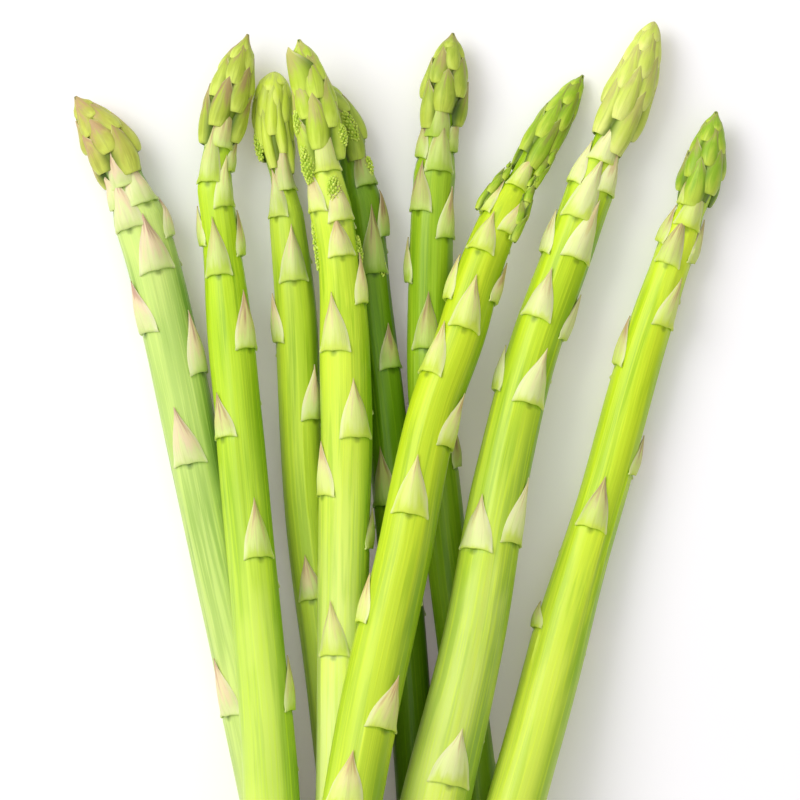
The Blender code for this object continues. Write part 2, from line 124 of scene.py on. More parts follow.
LEAF_RELIEF = 1.15  # how high a scale leaf stands where it has the room
LEAF_WIDTH = 0.66  # width of a scale leaf at its base, as a share of the stem's diameter
LEAF_WIDTHS = (0.96, 1.08)  # how unevenly wide the scale leaves are
LEAF_LEAN = 4.0  # how unevenly they lean, in degrees
LEAST_RELIEF = 0.45  # a leaf that has less room than this is left out
LEAF_THICKNESS = 0.28
SCALE_THICKNESS = 0.34
SHOOT_THINNING = 0.8  # how much thinner the scales of a side shoot are
HIDDEN_LEAF_SPACING = 21.0  # between the guessed leaves of the under side
HIDDEN_LEAF_LENGTH = 11.0
HIDDEN_LEAF_SIDES = (148.0, 208.0)  # the angles that they stand at, in turn
HIDDEN_FROM_TIP = 44.0  # where they start
HIDDEN_TO_BUTT = 30.0  # the stretch before the butt that has none

MIDDLE_WIDTH = 0.24  # of a leaf's ridge and spur, as a share of half its width
LEAST_BEND = 1.0  # no leaf is bent to a smaller radius
LEAST_RADIUS = 0.1  # no point of a leaf comes closer to the line
FLARE_POWER = 1.5  # above 1, a flared leaf bends away towards its point
SHADED_EDGE = (0.26, 0.74)  # where painted shade darkens a scale, by how far below its top, as shares of its relief
SHADED_SIDE = (0.40, 0.78)  # where painted shade darkens its sides, as shares of half its width
BRIGHT_POINT = (0.45, 0.85)  # where that painted shade on its sides fades towards its point, as shares of its length
RIM_SHADE = 0.90  # how dark the painted shade on its lowest edges is, as a share of its painted crevice shade

STEM_SIDES = 68
STEM_CUTS = (2, 80)  # the long edges are divided twice
PANEL_LENGTH = 52.0  # how far the raised panel under a scale leaf runs down the stem
PANEL_HEIGHT = 0.30
PANEL_START = 1.2  # how far under the leaf it reaches that height
PANEL_FADE = 0.8  # power of its slow end
PANEL_SIDE = (0.90, 1.04)  # where its sides drop, as shares of half its width
PANEL_EDGE = (0.93, 0.09)  # place and width of the ridge along them, as shares of half its width
PANEL_RIM = 0.14  # extra height of that ridge
LEAST_WEIGHT = 1e-6  # keeps the tone defined where no panel is
PANEL_SINK = 0.26  # how far the stem lies under its outline where no panel is
LIP_SPOT = (1.1, 0.30)  # of the dark spot under a leaf's lip: millimetres down, and a share of its half width
STEM_WAVES = 0.10  # slow unevenness of a stem's radius
WAVE_LENGTHS = (17.0, 31.0, 6.1)  # millimetres that its waves take for each radian
RIPPLE_SHARE = 0.4  # height of the quick ripple on them, against their own
WAVES_START = 0.6  # where on the head the stem's relief starts, as a share of its length
HEAD_CREVICES = (0.50, 0.88)  # where the painted shade on a head's core fades, as shares of its length

FACE_ANGLE = 42.0  # edges sharper than this stay crisp
STEM_CREVICE = 0.60  # how dark the painted shade on the core between a head's scales is, and the spot under each leaf's lip, as a share of the deep green
SCALE_CREVICE = 0.62  # how dark the painted shade on the scales' hidden parts is, as a share of the deep green
CUT_RINGS = (0.05, 0.06, 0.14, 0.25, 0.25)  # widths of the cut face's rings, as shares of its radius
CUT_RIM = 0.14  # height of the cut face's rim
CUT_SWELL = 0.028  # height of the whole face over the stem's own end
CUT_DISH = (0.2, 0.9)  # where the dished middle rises to the rim, as shares of the radius
CUT_EDGE = (0.93, 1.0)  # where the rim drops to the skin
CUT_WIDTHS = (0.99, 0.90)  # of the lid's face and of its hidden back, as shares of the stem's
CUT_BACK = 0.25  # how far the stem's own end lies behind the butt
CUT_DEPTH = 0.3  # how deep the lid of the cut face sits in the stem


def linear(colour: Sequence[float]) -> tuple[float, float, float, float]:
    """Turns a colour of 0 to 255 values, as seen, into the linear values that shaders take.

    Args:
        colour: red, green and blue.

    Returns:
        The linear red, green and blue, and full opacity.
    """
    shares = [value / 255 for value in colour]
    light = [share / 12.92 if share < 0.04045 else ((share + 0.055) / 1.055) ** 2.4 for share in shares]
    return (light[0], light[1], light[2], 1.0)


def mixed(first: Colour, second: Colour) -> Colour:
    """Finds the colour halfway between two."""
    return tuple((one + other) // 2 for one, other in zip(first, second, strict=True))


def raised(colour: Colour, lift: Colour) -> Colour:
    """Adds to the red, green and blue of a colour, up to full light."""
    return tuple(min(255, value + more) for value, more in zip(colour, lift, strict=True))


def darkened(colour: Colour, share: float) -> Colour:
    """Keeps this share of a colour's light."""
    return tuple(int(value * share) for value in colour)


def smooth_step(low: float, high: float, value: np.ndarray) -> np.ndarray:
    """Rises smoothly from 0 at low to 1 at high.

    Args:
        low: where the rise starts.
        high: where it ends.
        value: the places to read it at.

    Returns:
        The height of the rise at each place.
    """
    share = np.clip((value - low) / (high - low), 0.0, 1.0)
    return share * share * (3 - 2 * share)


def flowing(at: np.ndarray, places: np.ndarray, values: np.ndarray) -> np.ndarray:
    """Reads a smooth curve through the values at these places.

    Args:
        at: where to read the curve.
        places: the places of the values, rising.
        values: the values that the curve goes through.

    Returns:
        The curve's height at each place in at.
    """
    places = np.asarray(places, float)
    values = np.asarray(values, float)
    at = np.clip(at, places[0], places[-1])
    slopes = np.gradient(values, places)
    index = np.clip(np.searchsorted(places, at, side="right") - 1, 0, len(places) - 2)
    width = places[index + 1] - places[index]
    share = (at - places[index]) / width
    smooth = share * share * (3 - 2 * share)
    leaving = (share**3 - 2 * share**2 + share) * width * slopes[index]
    arriving = (share**3 - share**2) * width * slopes[index + 1]
    return values[index] + (values[index + 1] - values[index]) * smooth + leaving + arriving


def coordinates(piece: Piece) -> np.ndarray:
    """Reads the points of a mesh.

    Args:
        piece: the piece to read.

    Returns:
        A row of x, y and z for every point.
    """
    flat = np.empty(len(piece.data.vertices) * 3)
    piece.data.vertices.foreach_get("co", flat)
    return flat.reshape(-1, 3)


def place_points(piece: Piece, points: np.ndarray) -> None:
    """Sets the points of a mesh, in its own units."""
    piece.data.vertices.foreach_set("co", points.ravel())
    piece.data.update()


def move_to(piece: Piece, points: np.ndarray, lowest: float = 0.0) -> None:
    """Sets the points of a mesh, given in millimetres, and keeps them above the surface.

    Args:
        piece: the piece to change.
        points: a row of x, y and z for every point.
        lowest: the height that no point goes below.
    """
    placed = points.copy()
    placed[:, 2] = np.maximum(placed[:, 2], lowest)
    place_points(piece, placed * MM)


def remember(piece: Piece, name: str, values: np.ndarray) -> None:
    """Stores a number or a vector for every point of a mesh, for the finishes to read.

    Args:
        piece: the piece to change.
        name: the attribute's name.
        values: one number, or three, for every point.
    """
    kind, entry = ("FLOAT", "value") if values.ndim == 1 else ("FLOAT_VECTOR", "vector")
    layer = piece.data.attributes.new(name, kind, "POINT")
    layer.data.foreach_set(entry, values.astype(np.float32).ravel())


def choose(*pieces: Piece) -> None:
    """Selects these pieces and nothing else, and makes the first one active.

    Args:
        pieces: the pieces to select.
    """
    bpy.ops.object.select_all(action="DESELECT")
    for piece in pieces:
        piece.select_set(True)
    bpy.context.view_layer.objects.active = pieces[0]


def pick(wanted: Callable[[bmesh.types.BMEdge | bmesh.types.BMFace], bool], faces: bool = False) -> None:
    """Selects the edges that pass a test, and nothing else, on the piece in edit mode.

    Args:
        wanted: the test.
        faces: whether faces are tested and selected, and not edges.
    """
    bpy.ops.mesh.select_mode(type="FACE" if faces else "EDGE")
    bpy.ops.mesh.select_all(action="DESELECT")
    mesh = bmesh.from_edit_mesh(bpy.context.edit_object.data)
    for element in mesh.faces if faces else mesh.edges:
        if wanted(element):
            element.select_set(True)
    bmesh.update_edit_mesh(bpy.context.edit_object.data)


def rod(name: str, sides: int, cuts: Sequence[int] = (), ends: str = "NGON") -> Piece:
    """Models an upright rod of radius 1 and height 1, to be shaped round a line.

    Args:
        name: its name.
        sides: how many sides it has.
        cuts: how often its long edges are divided, one time after the other.
        ends: how its two ends are filled.

    Returns:
        The rod.
    """
    bpy.ops.mesh.primitive_cylinder_add(
        vertices=sides, radius=1.0, depth=1.0, end_fill_type=ends, location=(0.0, 0.0, 0.5)
    )
    piece = bpy.context.object
    piece.name = name
    bpy.ops.object.transform_apply(location=True, rotation=True, scale=True)
    bpy.ops.object.mode_set(mode="EDIT")
    for number in cuts:
        pick(lambda edge: abs(edge.verts[0].co.z - edge.verts[1].co.z) > LEVEL)
        bpy.ops.mesh.subdivide(number_cuts=number)
    bpy.ops.object.mode_set(mode="OBJECT")
    return piece


def copy_of(pattern: Piece) -> Piece:
    """Copies a modelled pattern.

    Args:
        pattern: the piece to copy.

    Returns:
        The copy, with a mesh of its own.
    """
    copy = pattern.copy()
    copy.data = pattern.data.copy()
    bpy.context.scene.collection.objects.link(copy)
    return copy


def joined(parts: Sequence[Piece], name: str) -> Piece:
    """Joins several meshes into one piece.

    Args:
        parts: the meshes to join.
        name: the piece's name.

    Returns:
        The joined piece.
    """
    choose(*parts)
    if len(parts) > 1:
        bpy.ops.object.join()
    piece = bpy.context.view_layer.objects.active
    piece.name = name
    piece.data.name = name
    return piece


def thicken(piece: Piece, thickness: float) -> None:
    """Gives open blades their thickness, inwards from their outer side.

    Args:
        piece: the blades.
        thickness: in millimetres.
    """
    wall = piece.modifiers.new("thickness", "SOLIDIFY")
    wall.thickness = thickness * MM
    wall.offset = -1.0
    choose(piece)
    bpy.ops.object.modifier_apply(modifier=wall.name)


def shade(piece: Piece) -> None:
    """Shades a piece smooth, with its sharp edges left crisp."""
    choose(piece)
    bpy.ops.object.shade_smooth_by_angle(angle=math.radians(FACE_ANGLE))


@dataclass(frozen=True)
class LeafShape:
    """The outline and the relief of a scale leaf, in even rows from its tucked rim to its point."""

    reach: tuple[float, ...]  # along the leaf, as a share of its length
    breadth: tuple[float, ...]  # half width, as a share of half the full width
    keel: tuple[float, ...]  # height of the middle, as a share of the relief
    edge: tuple[float, ...]  # height of the margins, as a share of the relief
    roundness: float  # power of the curve across the leaf: 2 is a plain arch
    rim_drop: float  # how far the rim's corners hang below its middle, as a share of the length
    spur: float  # how far a point in the middle of the rim hangs down, as a share of the length
    ridge: float  # height of a soft ridge along the middle, as a share of the relief
    columns: int = 10
    rows: int = 23

    def model(self, name: str) -> Piece:
        """Models one leaf flat: two wide, one long, and its relief in height.

        Args:
            name: the pattern's name.

        Returns:
            The pattern, an open blade that is turned in at its rim.
        """
        bpy.ops.mesh.primitive_grid_add(x_subdivisions=self.columns, y_subdivisions=self.rows, size=2.0)
        blade = bpy.context.object
        blade.name = name
        bpy.ops.object.mode_set(mode="EDIT")
        pick(lambda edge: all(vert.co.y > 1.0 - LEVEL for vert in edge.verts))
        bpy.ops.mesh.merge(type="CENTER")
        bpy.ops.object.mode_set(mode="OBJECT")
        points = coordinates(blade)
        across = points[:, 0].copy()
        row = (points[:, 1] + 1.0) / 2.0
        rows = np.linspace(0.0, 1.0, len(self.reach))
        curves = (self.reach, self.breadth, self.keel, self.edge)
        reach, breadth, keel, edge = (flowing(row, rows, np.array(values)) for values in curves)
        arch = 1.0 - np.abs(across) ** self.roundness
        near_rim = (1.0 - row) ** 3
        middle = np.exp(-((across / MIDDLE_WIDTH) ** 2))
        points[:, 0] = across * np.maximum(breadth, 0.0)
        points[:, 1] = reach - (self.rim_drop * across**2 + self.spur * middle) * near_rim
        points[:, 2] = edge + (keel - edge) * arch + self.ridge * middle * (1.0 - row)
        place_points(blade, points)
        return blade


STEM_LEAF = LeafShape(
    reach=(0.012, -0.026, -0.032, -0.006, 0.045, 0.12, 0.24, 0.38, 0.54, 0.70, 0.86, 1.0),
    breadth=(0.95, 0.99, 1.02, 1.0, 0.98, 0.95, 0.88, 0.745, 0.54, 0.305, 0.12, 0.0),
    keel=(0.0, 0.34, 0.66, 0.86, 0.94, 1.04, 1.14, 1.14, 1.02, 0.84, 0.66, 0.50),
    edge=(-0.1, 0.20, 0.46, 0.54, 0.36, 0.18, 0.08, 0.06, 0.10, 0.18, 0.32, 0.50),
    roundness=1.7,
    rim_drop=0.085,
    spur=0.034,
    ridge=0.16,
)
HEAD_SCALE = LeafShape(
    reach=(0.045, 0.000, -0.012, 0.020, 0.075, 0.16, 0.28, 0.42, 0.57, 0.72, 0.87, 1.0),
    breadth=(0.62, 0.70, 0.74, 0.75, 0.80, 0.92, 1.0, 0.95, 0.77, 0.50, 0.22, 0.0),
    keel=(0.0, 0.34, 0.62, 0.78, 0.88, 0.97, 1.02, 0.99, 0.92, 0.89, 0.91, 0.96),
    edge=(-0.1, 0.02, 0.16, 0.20, 0.12, 0.02, 0.00, 0.08, 0.26, 0.52, 0.78, 0.96),
    roundness=2.0,
    rim_drop=0.04,
    spur=0.0,
    ridge=0.12,
)


@dataclass(frozen=True)
class Leaf:
    """Where a scale leaf grows, and how it lies."""

    distance: float  # of its rim from the tip
    angle: float  # in degrees
    length: float
    width: float
    relief: float | None = None  # None follows the head's own relief
    lean: float = 0.0  # how far its point turns aside, in degrees
    tone: float = 0.5
    swell: float = 1.0  # how full it is, as a share of the relief
    flare: float = 0.0  # how far its point stands off
    depth: float = 0.0  # how dark a painted shade makes it, where it lies hidden between its neighbours


class Axis:
    """The line that something grows along, sampled from its tip to its foot."""

    def __init__(self, points: np.ndarray) -> None:
        """Stores the line and measures it.

        Args:
            points: rows of x, y and z, in millimetres.
        """
        self.points = points
        steps = np.linalg.norm(np.diff(points[:, :2], axis=0), axis=1)
        self.along = np.concatenate([[0.0], np.cumsum(steps)])

    @property
    def length(self) -> float:
        """The length of the line, as seen from above."""
        return float(self.along[-1])

    def centre(self, distance: np.ndarray) -> np.ndarray:
        """Reads the line's points at these distances from the tip."""
        return np.stack([np.interp(distance, self.along, axis) for axis in self.points.T], axis=-1)

    def place(self, distance: np.ndarray, angle: np.ndarray, radius: np.ndarray) -> np.ndarray:
        """Finds the points at these distances, angles round the line and radii.

        Args:
            distance: from the tip.
            angle: round the line, in radians, from the upper side.
            radius: from the line.

        Returns:
            A row of x, y and z for each.
        """
        distance = np.atleast_1d(np.asarray(distance, float))
        ahead = self.centre(np.maximum(distance - SAMPLE_STEP, 0.0))
        behind = self.centre(np.minimum(distance + SAMPLE_STEP, self.length))
        forward = ahead - behind
        forward /= np.linalg.norm(forward, axis=1, keepdims=True)
        aside = np.cross(forward, (0.0, 0.0, 1.0))
        aside /= np.linalg.norm(aside, axis=1, keepdims=True)
        upward = np.cross(aside, forward)
        past_tip = np.maximum(-distance, 0.0)[:, None] * forward
        past_butt = np.maximum(distance - self.length, 0.0)[:, None] * -forward
        turned = np.broadcast_to(angle, distance.shape)[:, None]
        reach = np.broadcast_to(radius, distance.shape)[:, None]
        outwards = np.sin(turned) * aside + np.cos(turned) * upward
        return self.centre(distance) + past_tip + past_butt + reach * outwards


class Stalk:
    """Anything that carries scale leaves: a spear, or a side shoot on one."""

    rounded = False  # a rounded tip in place of a pointed one
    point_length = 2.4  # how far from its tip it narrows to its point

    def __init__(self, axis: Axis, radius: np.ndarray, head_length: float) -> None:
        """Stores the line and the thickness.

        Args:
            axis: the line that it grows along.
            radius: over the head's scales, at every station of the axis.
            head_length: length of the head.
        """
        self.axis = axis
        self.radius = radius
        self.head_length = head_length

    def outline(self, distance: np.ndarray) -> np.ndarray:
        """Reads the radius over the head's scales, or of the bare stem.

        Args:
            distance: from the tip.

        Returns:
            The radius at each distance.
        """
        distance = np.asarray(distance)
        if self.rounded:
            from_top = 1.0 - np.clip(distance / DOME_LENGTH, 0.0, 1.0)
            point = np.maximum(np.sqrt(1.0 - from_top**2), LEAST_DOME)
        else:
            point = POINT_SHARE + (1.0 - POINT_SHARE) * np.clip(distance / self.point_length, 0.0, 1.0)
        return np.interp(distance, self.axis.along, self.radius) * point

    def core(self, distance: np.ndarray) -> np.ndarray:
        """Reads the radius of what the scales stand on."""
        share = np.clip((np.asarray(distance) - self.head_length) / CORE_FADE, 0.0, 1.0)
        return self.outline(distance) * (CORE_SHARE + (1.0 - CORE_SHARE) * share)

    def carrier(self, distance: np.ndarray, angle: np.ndarray) -> np.ndarray:
        """Reads the radius of the surface under a leaf. A bare stalk has no relief of its own."""
        return self.core(distance)

    def wrap(self, blade: Piece, leaf: Leaf) -> None:
        """Lays a copy of a leaf pattern round the stalk, where the leaf grows.

        Args:
            blade: the copy.
            leaf: where it grows and how it lies.
        """
        across, along, lift = coordinates(blade).T
        distance = leaf.distance - along * leaf.length
        core = self.core(distance)
        turn = across * leaf.width / 2 / np.maximum(core, LEAST_BEND) + math.radians(leaf.lean) * along
        angle = math.radians(leaf.angle) + turn
        relief = leaf.relief
        if relief is None:
            relief = self.outline(distance) - core + LEAST_HEAD_RELIEF
        stand_off = leaf.flare * np.clip(along, 0.0, 1.0) ** FLARE_POWER
        height = lift * relief * leaf.swell + stand_off
        radius = np.maximum(self.carrier(distance, angle) + height, LEAST_RADIUS)
        move_to(blade, self.axis.place(distance, angle, radius), SCALE_THICKNESS)
        # Painted shade: a scale darkens at its low edges and its sides, and where it lies hidden between
        # others.
        low_edge_shade = smooth_step(*SHADED_EDGE, 1.0 - lift * leaf.swell)
        side = smooth_step(*SHADED_SIDE, np.abs(across)) * (1.0 - smooth_step(*BRIGHT_POINT, along))
        remember(blade, "tone", np.full(len(across), leaf.tone))
        remember(blade, "depth", np.maximum(np.maximum(low_edge_shade, side) * RIM_SHADE, leaf.depth))

    def leafy(self, pattern: Piece, leaves: Sequence[Leaf], thickness: float, name: str) -> Piece:
        """Makes one piece of all the leaves that share a pattern.

        Args:
            pattern: the modelled leaf.
            leaves: where they grow.
            thickness: of the leaves.
            name: the piece's name.

        Returns:
            The piece.
        """
        blades = []
        for leaf in leaves:
            blade = copy_of(pattern)
            self.wrap(blade, leaf)
            blades.append(blade)
        piece = joined(blades, name)
        thicken(piece, thickness)
        shade(piece)
        return piece


class SideShoot(Stalk):
    """A slender side shoot, a small head of its own that lies along a spear."""

    STATIONS = 24  # places along its line
    LIFT = (0.22, 0.10)  # how far its foot stands off the spear, and its tip more, in thicknesses
    SWELL = (0.28, 0.62)  # where its foot is on a sine wave of thickness, and how far on its tip is
    SCALES = 9
    LAST_SCALE = (1.6, 3.0, 0.80)  # place, length and width, in thicknesses, of the one at the tip
    LOWER_SCALES = (3.4, 0.25)  # how much longer and wider the one at the foot is
    SCALE_RELIEF = 0.55
    SIDES = 14
    CUTS = 16
    TONE = 0.35

    def __init__(self, spear: Spear, form: Sequence[float]) -> None:
        """Works out its line from the spear that it grows on.

        Args:
            spear: what it grows on.
            form: the distance of its foot from the spear's tip, its angle round the spear in
                degrees, its length and its thickness.
        """
        distance, angle, length, thickness = form
        share = np.linspace(1.0, 0.0, self.STATIONS)
        along = distance - share * length
        out = spear.core(along) + thickness * (self.LIFT[0] + self.LIFT[1] * share)
        points = spear.axis.place(along, math.radians(angle), out)
        radius = thickness / 2 * np.sin(math.pi * (self.SWELL[0] + self.SWELL[1] * share))
        super().__init__(Axis(points), radius, length)
        self.thickness = thickness
        self.turn = angle

    def leaves(self) -> list[Leaf]:
        """Works out its small packed scales.

        Returns:
            The scales, lowest first.
        """
        place, length, width = self.LAST_SCALE
        longer, wider = self.LOWER_SCALES
        found = []
        for step in range(self.SCALES):
            lower = 1.0 - step / (self.SCALES - 1)
            base = place + (self.axis.length - place) * lower
            size = min(length + longer * lower, base)
            breadth = (width + wider * lower) * self.thickness
            turn = self.turn + GOLDEN_ANGLE * step
            found.append(Leaf(base, turn, size, breadth, self.SCALE_RELIEF, tone=step % 3 / 3))
        return found

    def core_piece(self, name: str) -> Piece:
        """Models the shoot's own stalk.

        Args:
            name: the piece's name.

        Returns:
            The stalk, a closed tube.
        """
        stalk = rod(name, self.SIDES, (self.CUTS,))
        x, y, height = coordinates(stalk).T
        distance = height * self.axis.length
        move_to(stalk, self.axis.place(distance, np.arctan2(x, y), self.core(distance)))
        remember(stalk, "tone", np.full(len(x), self.TONE))
        return stalk


@dataclass(frozen=True)
class Tint:
    """The colours of one spear, as they look in even light."""

    light: Colour
    deep: Colour
    low: Colour  # towards the butt
    leaf: Colour  # a scale leaf's base
    leaf_middle: Colour
    leaf_tip: Colour
    scale: Colour  # a head scale's base
    scale_middle: Colour
    scale_tip: Colour


@dataclass
class Spear(Stalk):
    """One spear, with its line on the surface, its thickness and what grows on it."""

    name: str
    slot: str
    tint: Tint
    centre_line: tuple[Pair, ...]  # from the tip to the butt
    girth: tuple[Pair, ...]  # (distance from the tip, diameter over the head scales)
    head_length: float
    head_scales: int
    head_turn: float
    scales: tuple[Triple, ...]  # (distance, angle, length)
    shoots: tuple[tuple[float, ...], ...] = ()  # (distance, angle, length, thickness)
    froth: tuple[tuple[float, ...], ...] = ()  # (distance, angle, length, width)
    spread: tuple[tuple[float, ...], ...] = ()  # (distance, angle, length, lean, flare)
    scale_form: Pair = (1.0, 1.0)  # length and width of the head's scales, against the usual
    rounded: bool = False
    point_length: float = 2.4
    seed: int = 0
    grown: list[Leaf] = field(default_factory=list)

    def lay_out(self) -> None:
        """Samples the centre line and the radius at every station, at no height yet."""
        line = np.array(self.centre_line)
        steps = np.hypot(*np.diff(line, axis=0).T)
        places = np.concatenate([[0.0], np.cumsum(steps)])
        along = np.linspace(0.0, places[-1], STATIONS)
        x = flowing(along, places, line[:, 0]) - LAYOUT_CENTRE[0]
        y = flowing(along, places, line[:, 1]) - LAYOUT_CENTRE[1]
        self.axis = Axis(np.stack([x, y, np.zeros(STATIONS)], axis=1))
        self.axis.along = along
        distances, diameters = np.array(self.girth).T
        self.radius = flowing(along, distances, diameters) / 2

    def settle(self, floor: np.ndarray) -> None:
        """Sets the height of the line, as a springy stem comes to rest on an uneven floor.

        Args:
            floor: the lowest height that the line may have at every station.
        """
        step = self.axis.along[1]
        bends = np.diff(np.eye(STATIONS), 2, axis=0)
        spring = SPRINGINESS / step**3 * bends.T @ bends
        touching = np.ones(STATIONS, bool)
        line = floor
        for _ in range(SETTLING_ROUNDS):
            hold = FLOOR_HARDNESS * touching
            line = np.linalg.solve(spring + np.diag(hold), hold * floor - step)
            touching = line < floor
        self.axis.points[:, 2] = line + max((floor - line).max(), 0.0)

    def lay_down(self, laid: Sequence[Spear], pressed: float) -> None:
        """Lays the spear on the surface and on the spears under it.

        Args:
            laid: the spears that already lie there.
            pressed: how much of it is pressed flat by the surface.
        """
        floor = self.radius - pressed
        for other in laid:
            gap = self.axis.points[:, None, :2] - other.axis.points[None, :, :2]
            across = np.linalg.norm(gap, axis=2)
            reach = self.radius[:, None] + other.radius[None, :] + LAID_GAP
            rise = np.sqrt(np.clip(reach**2 - across**2, 0.0, None))
            over = np.where(across < reach, other.axis.points[None, :, 2] + rise, 0.0)
            floor = np.maximum(floor, over.max(axis=1))
        self.settle(floor)

    def room_at(self, point: np.ndarray, spears: Sequence[Spear]) -> float:
        """Measures the clear space between a point on this spear and the nearest other spear.

        Args:
            point: on this spear's surface.
            spears: all the spears.

        Returns:
            The clear space.
        """
        others = [other for other in spears if other is not self]
        ways = [np.linalg.norm(other.axis.points - point, axis=1) - other.radius for other in others]
        return float(np.min(ways)) - LEAF_GAP

    def grow_leaves(self, spears: Sequence[Spear]) -> None:
        """Works out the scale leaves of the stem, those of the hidden side too.

        Args:
            spears: all the spears, which a leaf stays clear of.
        """
        chance = np.random.default_rng(self.seed)
        places = np.arange(HIDDEN_FROM_TIP, self.axis.length - HIDDEN_TO_BUTT, HIDDEN_LEAF_SPACING)
        hidden = [
            (float(distance), HIDDEN_LEAF_SIDES[step % 2], HIDDEN_LEAF_LENGTH)
            for step, distance in enumerate(places)
        ]
        for distance, angle, length in list(self.scales) + hidden:
            outline = float(self.outline(distance))
            point = self.axis.place(distance, math.radians(angle), outline)[0]
            relief = min(LEAF_RELIEF, self.room_at(point, spears))
            lean = chance.normal(0.0, LEAF_LEAN)
            tone = chance.uniform(0.0, 1.0)
            if relief < LEAST_RELIEF:
                continue
            width = LEAF_WIDTH * 2 * outline * chance.uniform(*LEAF_WIDTHS)
            self.grown.append(Leaf(distance, angle, length, width, relief, lean, tone))

    def head(self) -> list[Leaf]:
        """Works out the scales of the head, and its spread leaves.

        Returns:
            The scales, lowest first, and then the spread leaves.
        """
        chance = np.random.default_rng(self.seed + HEAD_SEED)
        longest = HEAD_SCALE_LENGTH[0] + HEAD_SCALE_LENGTH[1] * self.head_length
        longer, wider = self.scale_form
        even_tone, less_shade = HEAD_CALM
        found = []
        for half_step in range(2 * self.head_scales - 1):
            step = half_step / 2
            share = step / (self.head_scales - 1)
            base = TOP_SCALE_BASE + (self.head_length - TOP_SCALE_BASE) * (1.0 - share) ** HEAD_CROWDING
            length = TOP_SCALE_LENGTH + (longest - TOP_SCALE_LENGTH) * (1.0 - share) ** HEAD_SHORTENING
            width = TOP_SCALE_WIDTH + HEAD_SCALE_SHARE * 2 * float(self.outline(base))
            between = half_step % 2 == 1
            if between and share < BARE_SHARE:
                continue
            size, swell, turned, depth = INNER_SCALE if between else (1.0, 1.0, 0.0, 0.0)
            found.append(
                Leaf(
                    distance=base,
                    angle=self.head_turn + GOLDEN_ANGLE * step + turned,
                    length=min(length * longer * size * chance.uniform(*HEAD_LENGTHS), base),
                    width=width * (wider + (1.0 - wider) * share) * size * chance.uniform(*HEAD_WIDTHS),
                    lean=chance.normal(0.0, HEAD_LEAN),
                    tone=chance.uniform(0.0, 1.0) * (1.0 - even_tone * share),
                    swell=swell * chance.uniform(*HEAD_SWELLS),
                    # painted shade of the scales that lie between the others, less towards the point
                    depth=depth * (1.0 - less_shade * share),
                )
            )
        breadth, fullness = SPREAD_FORM
        for distance, angle, length, lean, flare in self.spread:
            width = breadth * HEAD_SCALE_SHARE * 2 * float(self.outline(distance))
            found.append(Leaf(distance, angle, length, width, lean=lean, swell=fullness, flare=flare))
        return found

    def panels(self, distance: np.ndarray, angle: np.ndarray) -> tuple[np.ndarray, ...]:
        """Works out the raised panels that run down the stem from the scale leaves.

        Args:
            distance: from the tip.
            angle: round the stem, in radians.

        Returns:
            How much each place belongs to a panel, to a panel's edge and to the small dark spot under the
            leaf's lip, and the panel's own tone, all from 0 to 1.
        """
        inside, rim, bud, tones = (np.zeros_like(distance) for _ in range(4))
        weights = np.full_like(distance, LEAST_WEIGHT)
        ridge, slim = PANEL_EDGE
        low, wide = LIP_SPOT
        for leaf in self.grown:
            half = leaf.width / 2 / float(self.core(leaf.distance))
            turned = angle - math.radians(leaf.angle)
            across = np.abs(np.arctan2(np.sin(turned), np.cos(turned))) / half
            below = distance - leaf.distance
            ending = np.clip(1.0 - below / PANEL_LENGTH, 0.0, 1.0) ** PANEL_FADE
            fade = smooth_step(0.0, PANEL_START, below) * ending
            here = fade * (1.0 - smooth_step(*PANEL_SIDE, across))
            inside = np.maximum(inside, here)
            rim = np.maximum(rim, fade * np.exp(-(((across - ridge) / slim) ** 2)))
            bud = np.maximum(bud, np.exp(-(((below - low) / low) ** 2) - (across / wide) ** 2))
            tones += here**4 * leaf.tone
            weights += here**4
        return inside, rim, bud, tones / weights

    def carrier(self, distance: np.ndarray, angle: np.ndarray) -> np.ndarray:
        """Reads the radius of the stem's surface, with its panels and its slow unevenness.

        Args:
            distance: from the tip.
            angle: round the stem, in radians.

        Returns:
            The radius at each place.
        """
        inside, rim, _, _ = self.panels(distance, angle)
        slow, slower, quick = WAVE_LENGTHS
        waves = np.sin(distance / slow + self.seed) * np.cos(2 * angle + distance / slower)
        ripple = np.sin(distance / quick + 3 * angle) * RIPPLE_SHARE
        below_head = smooth_step(self.head_length * WAVES_START, self.head_length + CORE_FADE, distance)
        relief = PANEL_HEIGHT * inside + PANEL_RIM * rim - PANEL_SINK + STEM_WAVES * (waves + ripple)
        return self.core(distance) + relief * below_head

    def stem(self) -> Piece:
        """Models the stem and the core of the head.

        Returns:
            The stem's piece.
        """
        stem = rod(self.name + "_stem", STEM_SIDES, STEM_CUTS)
        x, y, height = coordinates(stem).T
        distance = height * (self.axis.length - CUT_BACK)
        angle = np.arctan2(x, y)
        inside, rim, bud, tone = self.panels(distance, angle)
        radius = self.carrier(distance, angle)
        move_to(stem, self.axis.place(distance, angle, radius))
        low, high = (share * self.head_length for share in HEAD_CREVICES)
        grown = np.stack([radius * np.sin(angle), distance, radius * np.cos(angle)], axis=1)
        remember(stem, "grown", grown)
        remember(stem, "panel", inside)
        remember(stem, "ridge", rim)
        remember(stem, "bud", bud)
        remember(stem, "tone", tone)
        # painted shade on the head's core, which shows between its scales
        remember(stem, "in_head", 1.0 - smooth_step(low, high, distance))
        return stem

